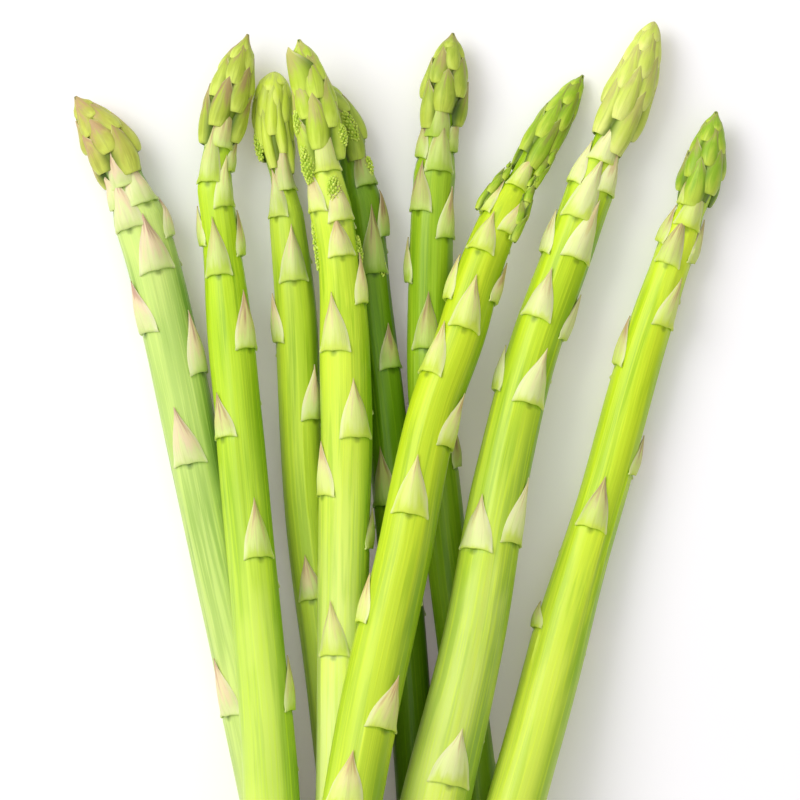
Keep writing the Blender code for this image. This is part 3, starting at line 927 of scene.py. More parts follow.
    def cut(self) -> Piece:
        """Models the cut face: a shallow lid on the butt with a soft rim and a dished middle.

        Returns:
            The piece of the cut face.
        """
        lid = rod(self.name + "_cut", STEM_SIDES, ends="TRIFAN")
        bpy.ops.object.mode_set(mode="EDIT")
        pick(lambda face: face.normal.z > 1.0 - LEVEL, faces=True)
        for ring in CUT_RINGS:
            bpy.ops.mesh.inset(thickness=ring)
        bpy.ops.object.mode_set(mode="OBJECT")
        x, y, height = coordinates(lid).T
        share = np.hypot(x, y)
        front = height > 0.5
        angle = np.arctan2(x, y)
        butt = np.full(len(x), self.axis.length)
        dish = CUT_RIM * smooth_step(*CUT_DISH, share) * (1.0 - smooth_step(*CUT_EDGE, share)) + CUT_SWELL
        distance = butt - CUT_BACK + np.where(front, dish, -CUT_DEPTH)
        radius = self.carrier(butt, angle) * share * np.where(front, *CUT_WIDTHS)
        move_to(lid, self.axis.place(distance, angle, radius))
        return lid


@dataclass
class Froth:
    """Loose clusters of tiny flower buds that show between the scales of an opening head."""

    egg: Triple = (0.78, 1.25, 0.78)  # half width, half length and half height of a bud of size 1
    egg_point: Pair = (0.2, 0.45)  # where its point starts, and how much slimmer it gets there
    sizes: Pair = (0.26, 0.42)  # of the tiny buds, in millimetres
    crowding: float = 5.0  # buds for each square millimetre of a cluster, with those left out
    cushions: int = 5  # large buds along a cluster that the tiny ones stand on
    cushion_share: float = 0.98
    depth: float = 0.45  # how deep a cluster sinks into the head, as a share of its half width
    lowest: float = -0.35  # buds deeper than this share of a cluster's half width are left out
    wave: Pair = (0.15, 0.75)  # where the width starts on a sine wave, and how far on it ends
    widths: Pair = (0.85, 1.1)  # how unevenly wide a cluster is
    outwards: Pair = (0.1, 0.6)  # how a bud's point turns aside, in radians, and stands off
    tilt: float = 0.3  # how unevenly the buds stand, in radians
    deepest: float = 0.9  # the tone of the deepest tiny bud, where a large one has 1

    def __post_init__(self) -> None:
        """Models one bud: a small pointed egg."""
        bpy.ops.mesh.primitive_ico_sphere_add(subdivisions=2, radius=1.0)
        self.bud = bpy.context.object
        self.bud.name = "bud_pattern"
        bpy.ops.object.mode_set(mode="EDIT")
        bpy.ops.mesh.select_all(action="SELECT")
        bpy.ops.transform.resize(value=self.egg)
        bpy.ops.object.mode_set(mode="OBJECT")
        points = coordinates(self.bud)
        start, slimmer = self.egg_point
        narrowed = 1.0 - slimmer * smooth_step(start, self.egg[1], points[:, 1])
        points[:, 0] *= narrowed
        points[:, 2] *= narrowed
        place_points(self.bud, points)

    def cluster(self, spear: Spear, chance: np.random.Generator) -> Piece:
        """Scatters a spear's buds where its head has opened.

        Args:
            spear: the spear that they grow on.
            chance: the seeded draw.

        Returns:
            The piece that holds the buds.
        """
        buds = []
        turned_out, raised_out = self.outwards
        for distance, angle, length, width in spear.froth:
            count = int(length * width * self.crowding)
            for step in range(-self.cushions, count):
                cushion = step < 0
                share = -(step + 0.5) / self.cushions if cushion else (step + 0.5) / count
                wave = math.sin(math.pi * (self.wave[0] + self.wave[1] * share))
                half = width / 2 * wave * chance.uniform(*self.widths)
                turn = 0.0 if cushion else math.radians(GOLDEN_ANGLE * step)
                if math.cos(turn) < self.lowest:
                    continue
                along = distance - share * length
                under = float(spear.outline(along)) - self.depth * half
                reach = 0.0 if cushion else half
                aside = math.radians(angle) + reach * math.sin(turn) / under
                height = under + reach * math.cos(turn)
                centre = spear.axis.place(along, aside, height)[0]
                further = aside + turned_out * math.sin(turn)
                ahead = spear.axis.place(along - SAMPLE_STEP, further, height + raised_out * reach)[0]
                size = half * self.cushion_share if cushion else chance.uniform(*self.sizes)
                facing = Vector(ahead - centre).to_track_quat("Y", "Z")
                aim = facing @ Euler(chance.normal(0.0, self.tilt, 3)).to_quaternion()
                bud = copy_of(self.bud)
                points = coordinates(bud) @ np.array(aim.to_matrix()).T
                move_to(bud, points * size + centre)
                tone = 1.0 if cushion else chance.uniform(0.0, self.deepest)
                remember(bud, "tone", np.full(len(points), tone))
                buds.append(bud)
        piece = joined(buds, spear.name + "_buds")
        shade(piece)
        return piece


class Bench:
    """A material in the making: its shader, and short ways to wire up what feeds it."""

    FRESH = {
        "Specular IOR Level": 0.25,
        "Subsurface Radius": (0.7, 1.0, 0.2),
        "Subsurface Scale": 1.2 * MM,
        "Coat Roughness": 0.25,
    }

    def __init__(self, name: str) -> None:
        """Starts a material.

        Args:
            name: the material's name.
        """
        self.material = bpy.data.materials.new(name)
        self.material.use_nodes = True
        self.tree = self.material.node_tree
        self.shader = self.tree.nodes["Principled BSDF"]

    def feed(self, socket: Socket, value: object) -> None:
        """Links a socket's output to an input, or sets a plain value on it.

        Args:
            socket: the input.
            value: an output, or a plain value.
        """
        if isinstance(value, Socket):
            self.tree.links.new(value, socket)
        else:
            socket.default_value = value

    def node(self, kind: str, inputs: dict, output: int | str = 0, **settings: object) -> Socket:
        """Adds a node and feeds it.

        Args:
            kind: the node's type.
            inputs: what goes into it, by the input's name or number.
            output: the name or number of the output that is wanted.
            settings: the node's own settings.

        Returns:
            That output.
        """
        node = self.tree.nodes.new("ShaderNode" + kind)
        for name, value in settings.items():
            setattr(node, name, value)
        for place, value in inputs.items():
            self.feed(node.inputs[place], value)
        return node.outputs[output]

    def attribute(self, name: str, output: str = "Fac") -> Socket:
        """Reads what a piece remembers for every point."""
        return self.node("Attribute", {}, output, attribute_name=name)

    def position(self) -> Socket:
        """Reads the place on the piece, in metres."""
        return self.node("TexCoord", {}, "Object")

    def parts_of(self, vector: Socket) -> list[Socket]:
        """Splits a vector into its three numbers."""
        return list(self.node("SeparateXYZ", {0: vector}).node.outputs)

    def unwrapped(self) -> list[Socket]:
        """Reads the piece's own UV map, across and along."""
        return self.parts_of(self.node("UVMap", {}, "UV", uv_map="UVMap"))

    def together(self, x: object, y: object, z: object) -> Socket:
        """Makes a vector of three numbers."""
        return self.node("CombineXYZ", {0: x, 1: y, 2: z})

    def maths(self, operation: str, first: object, second: object) -> Socket:
        """Works out one number from two."""
        return self.node("Math", {0: first, 1: second}, operation=operation)

    def times(self, first: object, second: object) -> Socket:
        """Multiplies two numbers."""
        return self.maths("MULTIPLY", first, second)

    def stretched(self, vector: Socket, scale: Triple) -> Socket:
        """Scales a vector, so that a pattern runs long or short along each axis."""
        return self.node("VectorMath", {0: vector, 1: scale}, operation="MULTIPLY")

    def noise(self, vector: Socket, scale: float = 1.0, detail: float = 3.0) -> Socket:
        """Adds a soft irregular pattern, from 0 to 1."""
        return self.node("TexNoise", {"Vector": vector, "Scale": scale, "Detail": detail}, "Fac")

    def ranged(self, value: object, *change: float) -> Socket:
        """Follows a change smoothly, and stops at its ends.

        Args:
            value: what the change depends on.
            change: where it starts and ends, and its two values there, or else 0 and 1.

        Returns:
            The changed value.
        """
        names = ("From Min", "From Max", "To Min", "To Max")
        inputs = {"Value": value} | dict(zip(names, change, strict=False))
        return self.node("MapRange", inputs, "Result", interpolation_type="SMOOTHSTEP")

    def blended(self, share: object, first: object, second: object) -> Socket:
        """Mixes two colours."""
        return self.node("Mix", {"Factor": share, 6: first, 7: second}, 2, data_type="RGBA")

    def layered(self, colour: object, layers: Sequence[tuple[object, object]]) -> Socket:
        """Lays colours over a colour.

        Args:
            colour: what lies under them.
            layers: how thick each one is at every place, and its colour, lowest first.

        Returns:
            The colour that is seen.
        """
        for share, paint in layers:
            colour = self.blended(share, colour, paint)
        return colour

    def ramp(self, value: object, stops: Sequence[tuple[float, tuple]]) -> Socket:
        """Reads a colour from a row of colours.

        Args:
            value: where to read it.
            stops: the place and the colour of each, in order.

        Returns:
            The colour.
        """
        colour = self.node("ValToRGB", {0: value}, "Color")
        row = colour.node.color_ramp
        row.interpolation = "EASE"
        while len(row.elements) < len(stops):
            row.elements.new(0.5)
        for element, (place, shown) in zip(row.elements, stops, strict=True):
            element.position = place
            element.color = shown
        return colour

    def finished(self, colour: Socket, relief: Socket, bump: Pair, gloss: Triple) -> bpy.types.Material:
        """Completes the material.

        Args:
            colour: of the surface.
            relief: the pattern of its fine relief.
            bump: how much of that relief shows, and its depth.
            gloss: its roughness, the share of the light that goes in and comes out again, and the
                strength of the wax on it.

        Returns:
            The material.
        """
        strength, depth = bump
        roughness, glow, wax = gloss
        inputs = {"Height": relief, "Strength": strength, "Distance": depth * MM}
        shares = {"Roughness": roughness, "Subsurface Weight": glow, "Coat Weight": wax}
        links = {"Base Color": colour, "Normal": self.node("Bump", inputs, "Normal")}
        for name, value in (self.FRESH | shares | links).items():
            self.feed(self.shader.inputs[name], value)
        return self.material


@dataclass(frozen=True)
class StemSkin:
    """The smooth waxy skin of a stem, streaked lengthwise, with painted shade on its sides and on the
    core of its head.
    """

    tint: Tint
    paler: Colour = (30, 22, 20)  # what the palest streaks add to its red, green and blue
    broad_grain: Triple = (0.42, 0.018, 0.42)  # repeats for each millimetre across and along the stem
    fine_grain: Triple = (2.4, 0.030, 2.4)
    patch_grain: Triple = (0.10, 0.035, 0.10)
    patch_detail: float = 2.0
    lower_stem: Pair = (60.0, 190.0)  # where it turns to its low colour, from the tip
    off_panel: Change = (0.0, 0.5, 0.60, 0.0)  # how deep its green is between the panels
    upper_stem: Change = (60.0, 130.0, 1.0, 0.25)  # how that fades, from the tip
    panel_tone: Change = (0.35, 0.9, 0.0, 0.35)  # how deep the darker panels are
    right_side_shade: Change = (1.8, 5.6, 0.0, 0.72)  # how deep a painted shade makes its right side, by millimetres from the middle
    # how deep a painted shade makes its left side, the same way
    left_side_shade: Change = (3.5, 6.4, 0.0, 0.18)
    streaks: Pair = (0.50, 0.60)  # the part of the broad grain that is streaked
    streak_depth: Change = (60.0, 190.0, 0.42, 0.20)  # from the tip
    patches: Change = (0.50, 0.72, 0.0, 0.45)  # how much of its low colour the patch grain brings
    hairlines: Change = (0.50, 0.64, 0.0, 0.36)  # how pale the fine grain, panels and ridges are
    panel_light: Change = (0.75, 1.0, 0.0, 0.30)
    ridge_light: Change = (0.2, 1.0, 0.0, 0.30)
    bud_shade: Change = (0.3, 1.0, 0.0, 0.55)  # how dark the spot under a leaf's lip is
    bump: Pair = (0.45, 0.18)  # how much of its fine relief shows, and its depth
    gloss: Triple = (0.36, 0.12, 0.12)  # roughness, glow and wax

    def made(self, name: str) -> bpy.types.Material:
        """Makes the finish.

        Args:
            name: the material's name.

        Returns:
            The material.
        """
        bench = Bench(name)
        place = bench.attribute("grown", "Vector")
        to_right, distance, _ = bench.parts_of(place)
        to_left = bench.times(to_right, -1.0)
        broad = bench.noise(bench.stretched(place, self.broad_grain))
        fine = bench.noise(bench.stretched(place, self.fine_grain))
        patch = bench.noise(bench.stretched(place, self.patch_grain), detail=self.patch_detail)
        panel = bench.attribute("panel")
        light, deep, low = (linear(colour) for colour in (self.tint.light, self.tint.deep, self.tint.low))
        pale = linear(raised(self.tint.light, self.paler))
        dark = linear(darkened(self.tint.deep, STEM_CREVICE))
        off_panel = bench.ranged(panel, *self.off_panel)
        off_panel = bench.times(off_panel, bench.ranged(distance, *self.upper_stem))
        toned = bench.times(panel, bench.ranged(bench.attribute("tone"), *self.panel_tone))
        streaks = bench.ranged(broad, *self.streaks)
        streaks = bench.times(streaks, bench.ranged(distance, *self.streak_depth))
        layers = (
            (bench.ranged(distance, *self.lower_stem), low),
            (off_panel, deep),
            (toned, deep),
            # painted shade on the sides of the stem, deepest on the right
            (bench.ranged(to_right, *self.right_side_shade), deep),
            (bench.ranged(to_left, *self.left_side_shade), deep),
            (streaks, deep),
            (bench.ranged(patch, *self.patches), low),
            (bench.ranged(fine, *self.hairlines), pale),
            (bench.ranged(panel, *self.panel_light), pale),
            (bench.ranged(bench.attribute("ridge"), *self.ridge_light), pale),
            (bench.ranged(bench.attribute("bud"), *self.bud_shade), dark),
            # painted shade on the head's core
            (bench.attribute("in_head"), dark),
        )
        relief = bench.maths("ADD", fine, broad)
        return bench.finished(bench.layered(light, layers), relief, self.bump, self.gloss)


@dataclass(frozen=True)
class LeafSkin:
    """The thin skin of a scale leaf, or of a head's scale, from its green lip to its dry point, with
    painted shade where it lies deep between its neighbours.
    """

    colours: tuple[Colour, Colour, Colour, Colour]  # of its lip, its base, its middle and its tip
    painted_crevice_shade: Colour  # the painted shade that darkens it deep between its neighbours
    margin: Colour
    turns: tuple[float, float, float, float]  # where along the leaf each colour is reached
    papery: float  # how strongly the margin's colour shows
    roughness: float
    veins: float  # how strongly its veins and blotches show
    crevice_shade_share: float  # how strongly that painted shade shows
    grains: tuple[Pair, ...] = ((7.0, 2.0), (22.0, 1.4), (3.0, 4.0))  # repeats across and along the leaf
    details: Triple = (3.0, 3.0, 5.0)  # these are for its raggedness, its veins and its blotches
    difference: float = 30.0  # how far apart two leaves' patterns may lie
    ragged: Change = (0.25, 0.75, -0.24, 0.24)  # how far the turns of the colours run up and down
    uneven: Change = (0.0, 1.0, -0.09, 0.09)  # how far they lie up or down on a leaf, by its tone
    edge: Pair = (0.36, 0.49)  # where the margin starts and ends, from the middle of the width
    vein_dark: float = 0.72  # the share of its middle's light that a vein keeps
    vein_range: Pair = (0.50, 0.74)  # the part of their patterns that veins and blotches take
    blotch_range: Pair = (0.54, 0.76)
    bump: Pair = (0.30, 0.12)
    gloss: Pair = (0.10, 0.04)  # glow and wax

    def made(self, name: str) -> bpy.types.Material:
        """Makes the finish.

        Args:
            name: the material's name.

        Returns:
            The material.
        """
        bench = Bench(name)
        across, along, _ = bench.unwrapped()
        tone = bench.attribute("tone")
        shift = bench.times(tone, self.difference)
        patterns = []
        for (wide, long), detail in zip(self.grains, self.details, strict=True):
            place = bench.together(bench.times(across, wide), bench.times(along, long), shift)
            patterns.append(bench.noise(place, detail=detail))
        ragged, vein, blotch = patterns
        reach = bench.maths("ADD", along, bench.times(bench.ranged(ragged, *self.ragged), along))
        reach = bench.maths("ADD", reach, bench.ranged(tone, *self.uneven))
        stops = [(place, linear(colour)) for place, colour in zip(self.turns, self.colours, strict=True)]
        off_middle = bench.maths("ABSOLUTE", bench.maths("SUBTRACT", across, 0.5), 0.0)
        lip, _, middle, _ = self.colours
        dark = linear(darkened(middle, self.vein_dark))
        layers = (
            (bench.ranged(off_middle, *self.edge, 0.0, self.papery), linear(self.margin)),
            (bench.ranged(vein, *self.vein_range, 0.0, self.veins), dark),
            (bench.ranged(blotch, *self.blotch_range, 0.0, self.veins), linear(lip)),
            # painted shade, deepest between a head's scales
            (bench.times(bench.attribute("depth"), self.crevice_shade_share), linear(self.painted_crevice_shade)),
        )
        colour = bench.layered(bench.ramp(reach, stops), layers)
        return bench.finished(colour, vein, self.bump, (self.roughness, *self.gloss))


STEM_LEAF_PAPER = {
    "margin": (232, 230, 190),
    "turns": (0.24, 0.50, 0.72, 0.96),
    "papery": 0.45,
    "roughness": 0.48,
    "veins": 0.20,
    "crevice_shade_share": 0.0,
}
HEAD_SCALE_PAPER = {
    "margin": (230, 228, 178),
    "turns": (0.10, 0.34, 0.62, 0.94),
    "papery": 0.35,
    "roughness": 0.44,
    "veins": 0.30,
    "crevice_shade_share": 1.0,
}
SCALE_LIP = (18, 18, 18)  # what the lip of a head's scale adds to the colour of its base


@dataclass(frozen=True)
class BudSkin:
    """The fresh lime green of the tiny buds."""

    light: Colour = (214, 232, 104)
    deep: Colour = (184, 212, 70)
    grain: float = 1400.0  # specks for each metre
    specks: Change = (0.5, 0.7, 0.0, 0.35)  # how deep they make its green
    bump: Pair = (0.3, 0.10)
    gloss: Triple = (0.45, 0.25, 0.05)

    def made(self, name: str) -> bpy.types.Material:
        """Makes the finish.

        Args:
            name: the material's name.

        Returns:
            The material.
        """
        bench = Bench(name)
        speck = bench.noise(bench.position(), self.grain)
        deep = linear(self.deep)
        layers = ((bench.attribute("tone"), deep), (bench.ranged(speck, *self.specks), deep))
        colour = bench.layered(linear(self.light), layers)
        return bench.finished(colour, speck, self.bump, self.gloss)


@dataclass(frozen=True)
class CutFlesh:
    """The moist cut face of a butt: pale flesh with the ends of its fibres."""

    flesh: Colour = (214, 226, 150)
    shaded: Colour = (192, 204, 128)
    fibre: Colour = (168, 190, 84)
    fibre_grain: float = 620.0  # fibres for each metre
    fibre_size: Change = (0.10, 0.34, 1.0, 0.0)  # how a fibre fades from its middle outwards
    fibre_share: float = 0.7  # how strongly its colour shows
    cloud_grain: float = 260.0
    clouds: Pair = (0.35, 0.7)
    bump: Pair = (0.4, 0.2)
    gloss: Triple = (0.38, 0.25, 0.0)

    def made(self, name: str) -> bpy.types.Material:
        """Makes the finish.

        Args:
            name: the material's name.

        Returns:
            The material.
        """
        bench = Bench(name)
        place = bench.position()
        dots = bench.node("TexVoronoi", {"Vector": place, "Scale": self.fibre_grain}, "Distance")
        near = bench.ranged(dots, *self.fibre_size)
        cloud = bench.noise(place, self.cloud_grain)
        layers = (
            (bench.ranged(cloud, *self.clouds), linear(self.shaded)),
            (bench.times(near, self.fibre_share), linear(self.fibre)),
        )
        colour = bench.layered(linear(self.flesh), layers)
        return bench.finished(colour, bench.maths("ADD", near, cloud), self.bump, self.gloss)


SPEARS = (
    Spear(
        name="spear_a",
        slot="skin_cool",
        tint=Tint(
            light=(190, 218, 112), deep=(84, 144, 6), low=(226, 240, 140),
            leaf=(220, 226, 156), leaf_middle=(232, 212, 168), leaf_tip=(196, 156, 132),
            scale=(206, 216, 90), scale_middle=(186, 188, 78), scale_tip=(190, 158, 108),
        ),
        centre_line=(
            (-74.8, 161.9), (-66.2, 149.5), (-58.4, 128.8), (-52.7, 105.8),
            (-45.1, 69.0), (-35.2, 23.0), (-24.6, -31.0),
        ),
        girth=(
            (0, 1.6), (5, 6.8), (10, 11.0), (15, 12.9), (24, 12.4), (60, 12.4), (140, 12.6), (215, 13.0),
        ),
        head_length=23.0,
        head_scales=19,
        head_turn=-110.0,
        scales=(
            (23.5, -7, 10), (28.5, 31, 10), (28, -75, 9), (33, -28, 12), (37.5, 82, 9), (44, 8, 13),
            (57.5, -60, 12), (69, 63, 14), (89, -14, 13), (147.5, -52, 13),
        ),
        seed=11,
    ),
    Spear(
        name="spear_b",
        slot="skin_fresh",
        tint=Tint(
            light=(178, 214, 30), deep=(112, 164, 2), low=(212, 234, 102),
            leaf=(210, 226, 130), leaf_middle=(210, 208, 130), leaf_tip=(182, 150, 108),
            scale=(202, 218, 88), scale_middle=(172, 188, 60), scale_tip=(164, 142, 88),
        ),
        centre_line=(
            (-35.0, 176.2), (-40.0, 158.7), (-42.6, 142.6), (-41.2, 128.8),
            (-37.5, 92.0), (-33.1, 46.0), (-29.4, 0.0), (-28.6, -35.0),
        ),
        girth=(
            (0, 1.4), (5, 6.0), (10, 9.2), (17, 11.2), (27, 10.4), (36, 8.6), (50, 8.6),
            (66, 10.4), (90, 11.1), (130, 11.6), (180, 13.2), (220, 13.3),
        ),
        head_length=28.0,
        head_scales=22,
        head_turn=150.0,
        scales=(
            (26.5, 8, 11), (32, 80, 8), (34.5, -22, 13), (40.5, 32, 12), (49, -85, 9), (52, 88, 10),
            (56, -15, 13), (73.5, 50, 13), (93.5, -45, 10), (121.5, 22, 13), (156.5, 85, 12),
        ),
        point_length=4.2,
        seed=12,
    ),
    Spear(
        name="spear_c",
        slot="skin_fresh",
        tint=Tint(
            light=(184, 212, 50), deep=(110, 156, 10), low=(194, 218, 92),
            leaf=(212, 224, 140), leaf_middle=(222, 210, 152), leaf_tip=(204, 172, 132),
            scale=(224, 238, 106), scale_middle=(208, 228, 76), scale_tip=(190, 204, 90),
        ),
        centre_line=(
            (-28.8, 167.7), (-29.4, 158.7), (-26.5, 138.0), (-24.2, 115.0),
            (-21.9, 69.0), (-16.3, 23.0), (-9.8, -33.0),
        ),
        girth=(
            (0, 4.4), (4, 8.0), (10, 9.4), (18, 9.2), (27, 7.6), (36, 8.6), (52, 9.8),
            (90, 10.1), (150, 10.4), (205, 10.6),
        ),
        head_length=24.0,
        head_scales=27,
        head_turn=60.0,
        scales=(
            (27, 20, 14), (33, -35, 11), (48, 3, 12.5), (62, -75, 11), (80, 42, 12), (121.5, -12, 10),
        ),
        froth=((20, -62, 6, 2.0),),
        scale_form=(1.25, 0.56),
        rounded=True,
        seed=13,
    ),
    Spear(
        name="spear_d",
        slot="skin_pale",
        tint=Tint(
            light=(200, 226, 50), deep=(126, 180, 4), low=(232, 243, 148),
            leaf=(222, 234, 134), leaf_middle=(224, 218, 144), leaf_tip=(204, 176, 124),
            scale=(208, 230, 86), scale_middle=(186, 210, 60), scale_tip=(188, 182, 100),
        ),
        centre_line=(
            (-23.2, 174.6), (-19.8, 161.0), (-16.8, 142.6), (-14.0, 124.2),
            (-12.4, 92.0), (-13.1, 46.0), (-13.6, 0.0), (-15.0, -36.5),
        ),
        girth=(
            (0, 1.6), (5, 6.4), (10, 8.8), (18, 10.8), (28, 11.0), (40, 9.8), (52, 9.8),
            (70, 11.6), (120, 11.7), (180, 12.0), (220, 12.2),
        ),
        head_length=30.0,
        head_scales=22,
        head_turn=-60.0,
        scales=(
            (30, 6, 15), (39, -50, 11), (42, 25, 10), (50, 10, 9), (61, 68, 11), (71.5, -26, 13),
            (91.5, 25, 13), (105, -62, 12), (117, 90, 9), (141.5, -20, 12),
        ),
        froth=(
            (33, -50, 8.5, 2.8), (25.5, 72, 4.5, 2.6), (38.7, 17, 6.5, 3.0), (53, -80, 11, 1.8),
            (52.5, 82, 6, 2.4), (21, -62, 5, 2.0),
        ),
        spread=((13.5, -62, 12.4, -16, 2.0),),
        seed=14,
    ),
    Spear(
        name="spear_e",
        slot="skin_fresh",
        # E's colours for its stem and its scale leaves are darker than the other spears': painted shade
        # from the spears that lie over it
        tint=Tint(
            light=(112, 156, 14), deep=(64, 106, 2), low=(108, 150, 14),
            leaf=(172, 196, 98), leaf_middle=(180, 184, 104), leaf_tip=(154, 130, 88),
            scale=(186, 206, 78), scale_middle=(158, 180, 62), scale_tip=(150, 134, 84),
        ),
        centre_line=(
            (-21.8, 167.0), (-13.9, 156.4), (-9.4, 138.0), (-6.8, 115.0),
            (-3.8, 92.0), (0.6, 46.0), (3.9, 0.0), (5.4, -32.0),
        ),
        girth=(
            (0, 1.5), (5, 5.8), (10, 8.6), (16, 10.0), (26, 9.8), (45, 9.7), (90, 9.9), (150, 10.0),
            (210, 10.2),
        ),
        head_length=23.0,
        head_scales=18,
        head_turn=20.0,
        scales=(
            (19, 25, 9), (28.5, 40, 10), (40.5, 78, 10), (48.5, 20, 15), (71, 38, 10), (102, -28, 13),
        ),
        froth=((19, 22, 7, 2.6), (27, 48, 4, 2.0), (50, 44, 6, 2.2)),
        seed=15,
    ),
    Spear(
        name="spear_f",
        slot="skin_fresh",
        tint=Tint(
            light=(190, 216, 26), deep=(114, 166, 2), low=(204, 228, 60),
            leaf=(218, 232, 124), leaf_middle=(224, 220, 140), leaf_tip=(202, 172, 118),
            scale=(188, 210, 66), scale_middle=(152, 188, 38), scale_tip=(142, 150, 60),
        ),
        centre_line=(
            (42.3, 167.0), (35.0, 155.2), (25.3, 138.0), (18.4, 121.9), (13.6, 105.8),
            (8.5, 92.0), (0.5, 55.2), (-6.7, 23.0), (-17.5, -38.0),
        ),
        girth=(
            (0, 1.3), (5, 5.0), (10, 7.4), (17, 8.6), (27, 8.4), (36, 9.2), (58, 10.8),
            (85, 11.5), (105, 12.4), (142, 13.7), (225, 13.8),
        ),
        head_length=28.0,
        head_scales=22,
        head_turn=100.0,
        scales=(
            (30.5, 0, 9), (38.5, -72, 9), (41.5, 38, 9), (47.5, -22, 9), (57.5, 85, 10), (59.5, -85, 10),
            (65.5, 3, 12), (77.5, -48, 12), (92.5, 63, 13), (109.5, -5, 13), (135.5, -80, 11),
            (158, 38, 12), (176.5, -17, 12),
        ),
        shoots=((39, -76, 13, 3.2), (43, 48, 17, 3.4), (29, 62, 12, 3.0)),
        seed=16,
    ),
    Spear(
        name="spear_g",
        slot="skin_cool",
        # G's stem colours, its low one most, are darker than the other spears': painted shade from the
        # spears that lie over it
        tint=Tint(
            light=(150, 188, 28), deep=(90, 138, 4), low=(142, 182, 36),
            leaf=(194, 212, 112), leaf_middle=(192, 192, 114), leaf_tip=(168, 140, 98),
            scale=(190, 206, 76), scale_middle=(162, 182, 58), scale_tip=(166, 154, 88),
        ),
        centre_line=(
            (12.2, 176.6), (10.3, 163.3), (8.3, 147.2), (6.9, 115.0),
            (6.9, 92.0), (9.7, 65.5), (16.1, 15.2), (22.0, -34.0),
        ),
        girth=(
            (0, 1.5), (5, 7.0), (10, 10.0), (14, 11.2), (22, 10.6), (34, 9.6), (50, 9.9), (120, 10.2),
            (215, 10.6),
        ),
        head_length=24.0,
        head_scales=19,
        head_turn=170.0,
        scales=(
            (24, -10, 11), (27, 75, 9), (29, -75, 9), (31.5, 12, 13.5), (41, -42, 11), (47, 50, 11.5),
            (57.5, -88, 10), (72.5, -8, 12.5), (100.5, 85, 9),
        ),
        seed=17,
    ),
    Spear(
        name="spear_h",
        slot="skin_pale",
        tint=Tint(
            light=(194, 224, 28), deep=(114, 168, 4), low=(222, 238, 118),
            leaf=(230, 240, 158), leaf_middle=(232, 234, 164), leaf_tip=(212, 194, 138),
            scale=(226, 234, 124), scale_middle=(206, 222, 92), scale_tip=(192, 190, 102),
        ),
        centre_line=(
            (58.7, 179.2), (54.5, 166.8), (46.0, 146.1), (38.0, 124.2), (30.6, 103.5),
            (23.2, 73.6), (16.6, 36.8), (8.0, 0.0), (0.4, -36.0),
        ),
        girth=(
            (0, 2.6), (5, 6.6), (10, 9.2), (18, 11.4), (30, 11.4), (44, 10.8), (58, 11.2),
            (90, 12.1), (118, 13.2), (150, 14.6), (176, 16.0), (230, 16.2),
        ),
        head_length=32.0,
        head_scales=24,
        head_turn=30.0,
        scale_form=(1.08, 1.0),
        rounded=True,
        scales=(
            (34.5, 0, 10), (41, 50, 10), (41, -65, 10), (48.5, -10, 15), (57.5, 26, 14), (58.5, -80, 10),
            (73.5, -22, 11.5), (76, 85, 11), (91.5, -88, 10), (93, 24, 13), (128, -32, 12), (125, 58, 15),
            (181, 16, 12.5),
        ),
        seed=18,
    ),
    Spear(
        name="spear_i",
        slot="skin_pale",
        tint=Tint(
            light=(206, 232, 34), deep=(134, 188, 6), low=(224, 240, 92),
            leaf=(214, 230, 122), leaf_middle=(212, 214, 130), leaf_tip=(188, 160, 112),
            scale=(190, 212, 70), scale_middle=(148, 188, 42), scale_tip=(168, 168, 88),
        ),
        centre_line=(
            (72.9, 158.5), (69.0, 141.5), (62.8, 124.2), (56.6, 105.8), (47.6, 73.6),
            (39.3, 46.0), (30.6, 13.8), (17.5, -30.0),
        ),
        girth=(
            (0, 1.6), (5, 6.0), (10, 9.0), (16, 10.6), (25, 9.8), (36, 8.8), (48, 9.7),
            (72, 10.8), (105, 11.5), (124, 13.0), (155, 13.6), (205, 13.6),
        ),
        head_length=24.0,
        head_scales=20,
        head_turn=-150.0,
        scales=(
            (22.5, -35, 9), (27, 8, 11), (32.5, -80, 9), (36.5, -15, 12), (34.5, 82, 10),
            (50.5, 38, 11.5), (62, -78, 11), (85.5, 88, 9), (100, -5, 12), (125.5, -88, 6),
        ),
        seed=19,
    ),
)


class Laying(Enum):
    """How deep in the heap a spear lies, in the order in which they are laid."""

    ON_THE_SURFACE = ("a", "c", "e", "g")
    ACROSS_THOSE = ("b", "d", "h", "i")
    ON_TOP = ("f",)


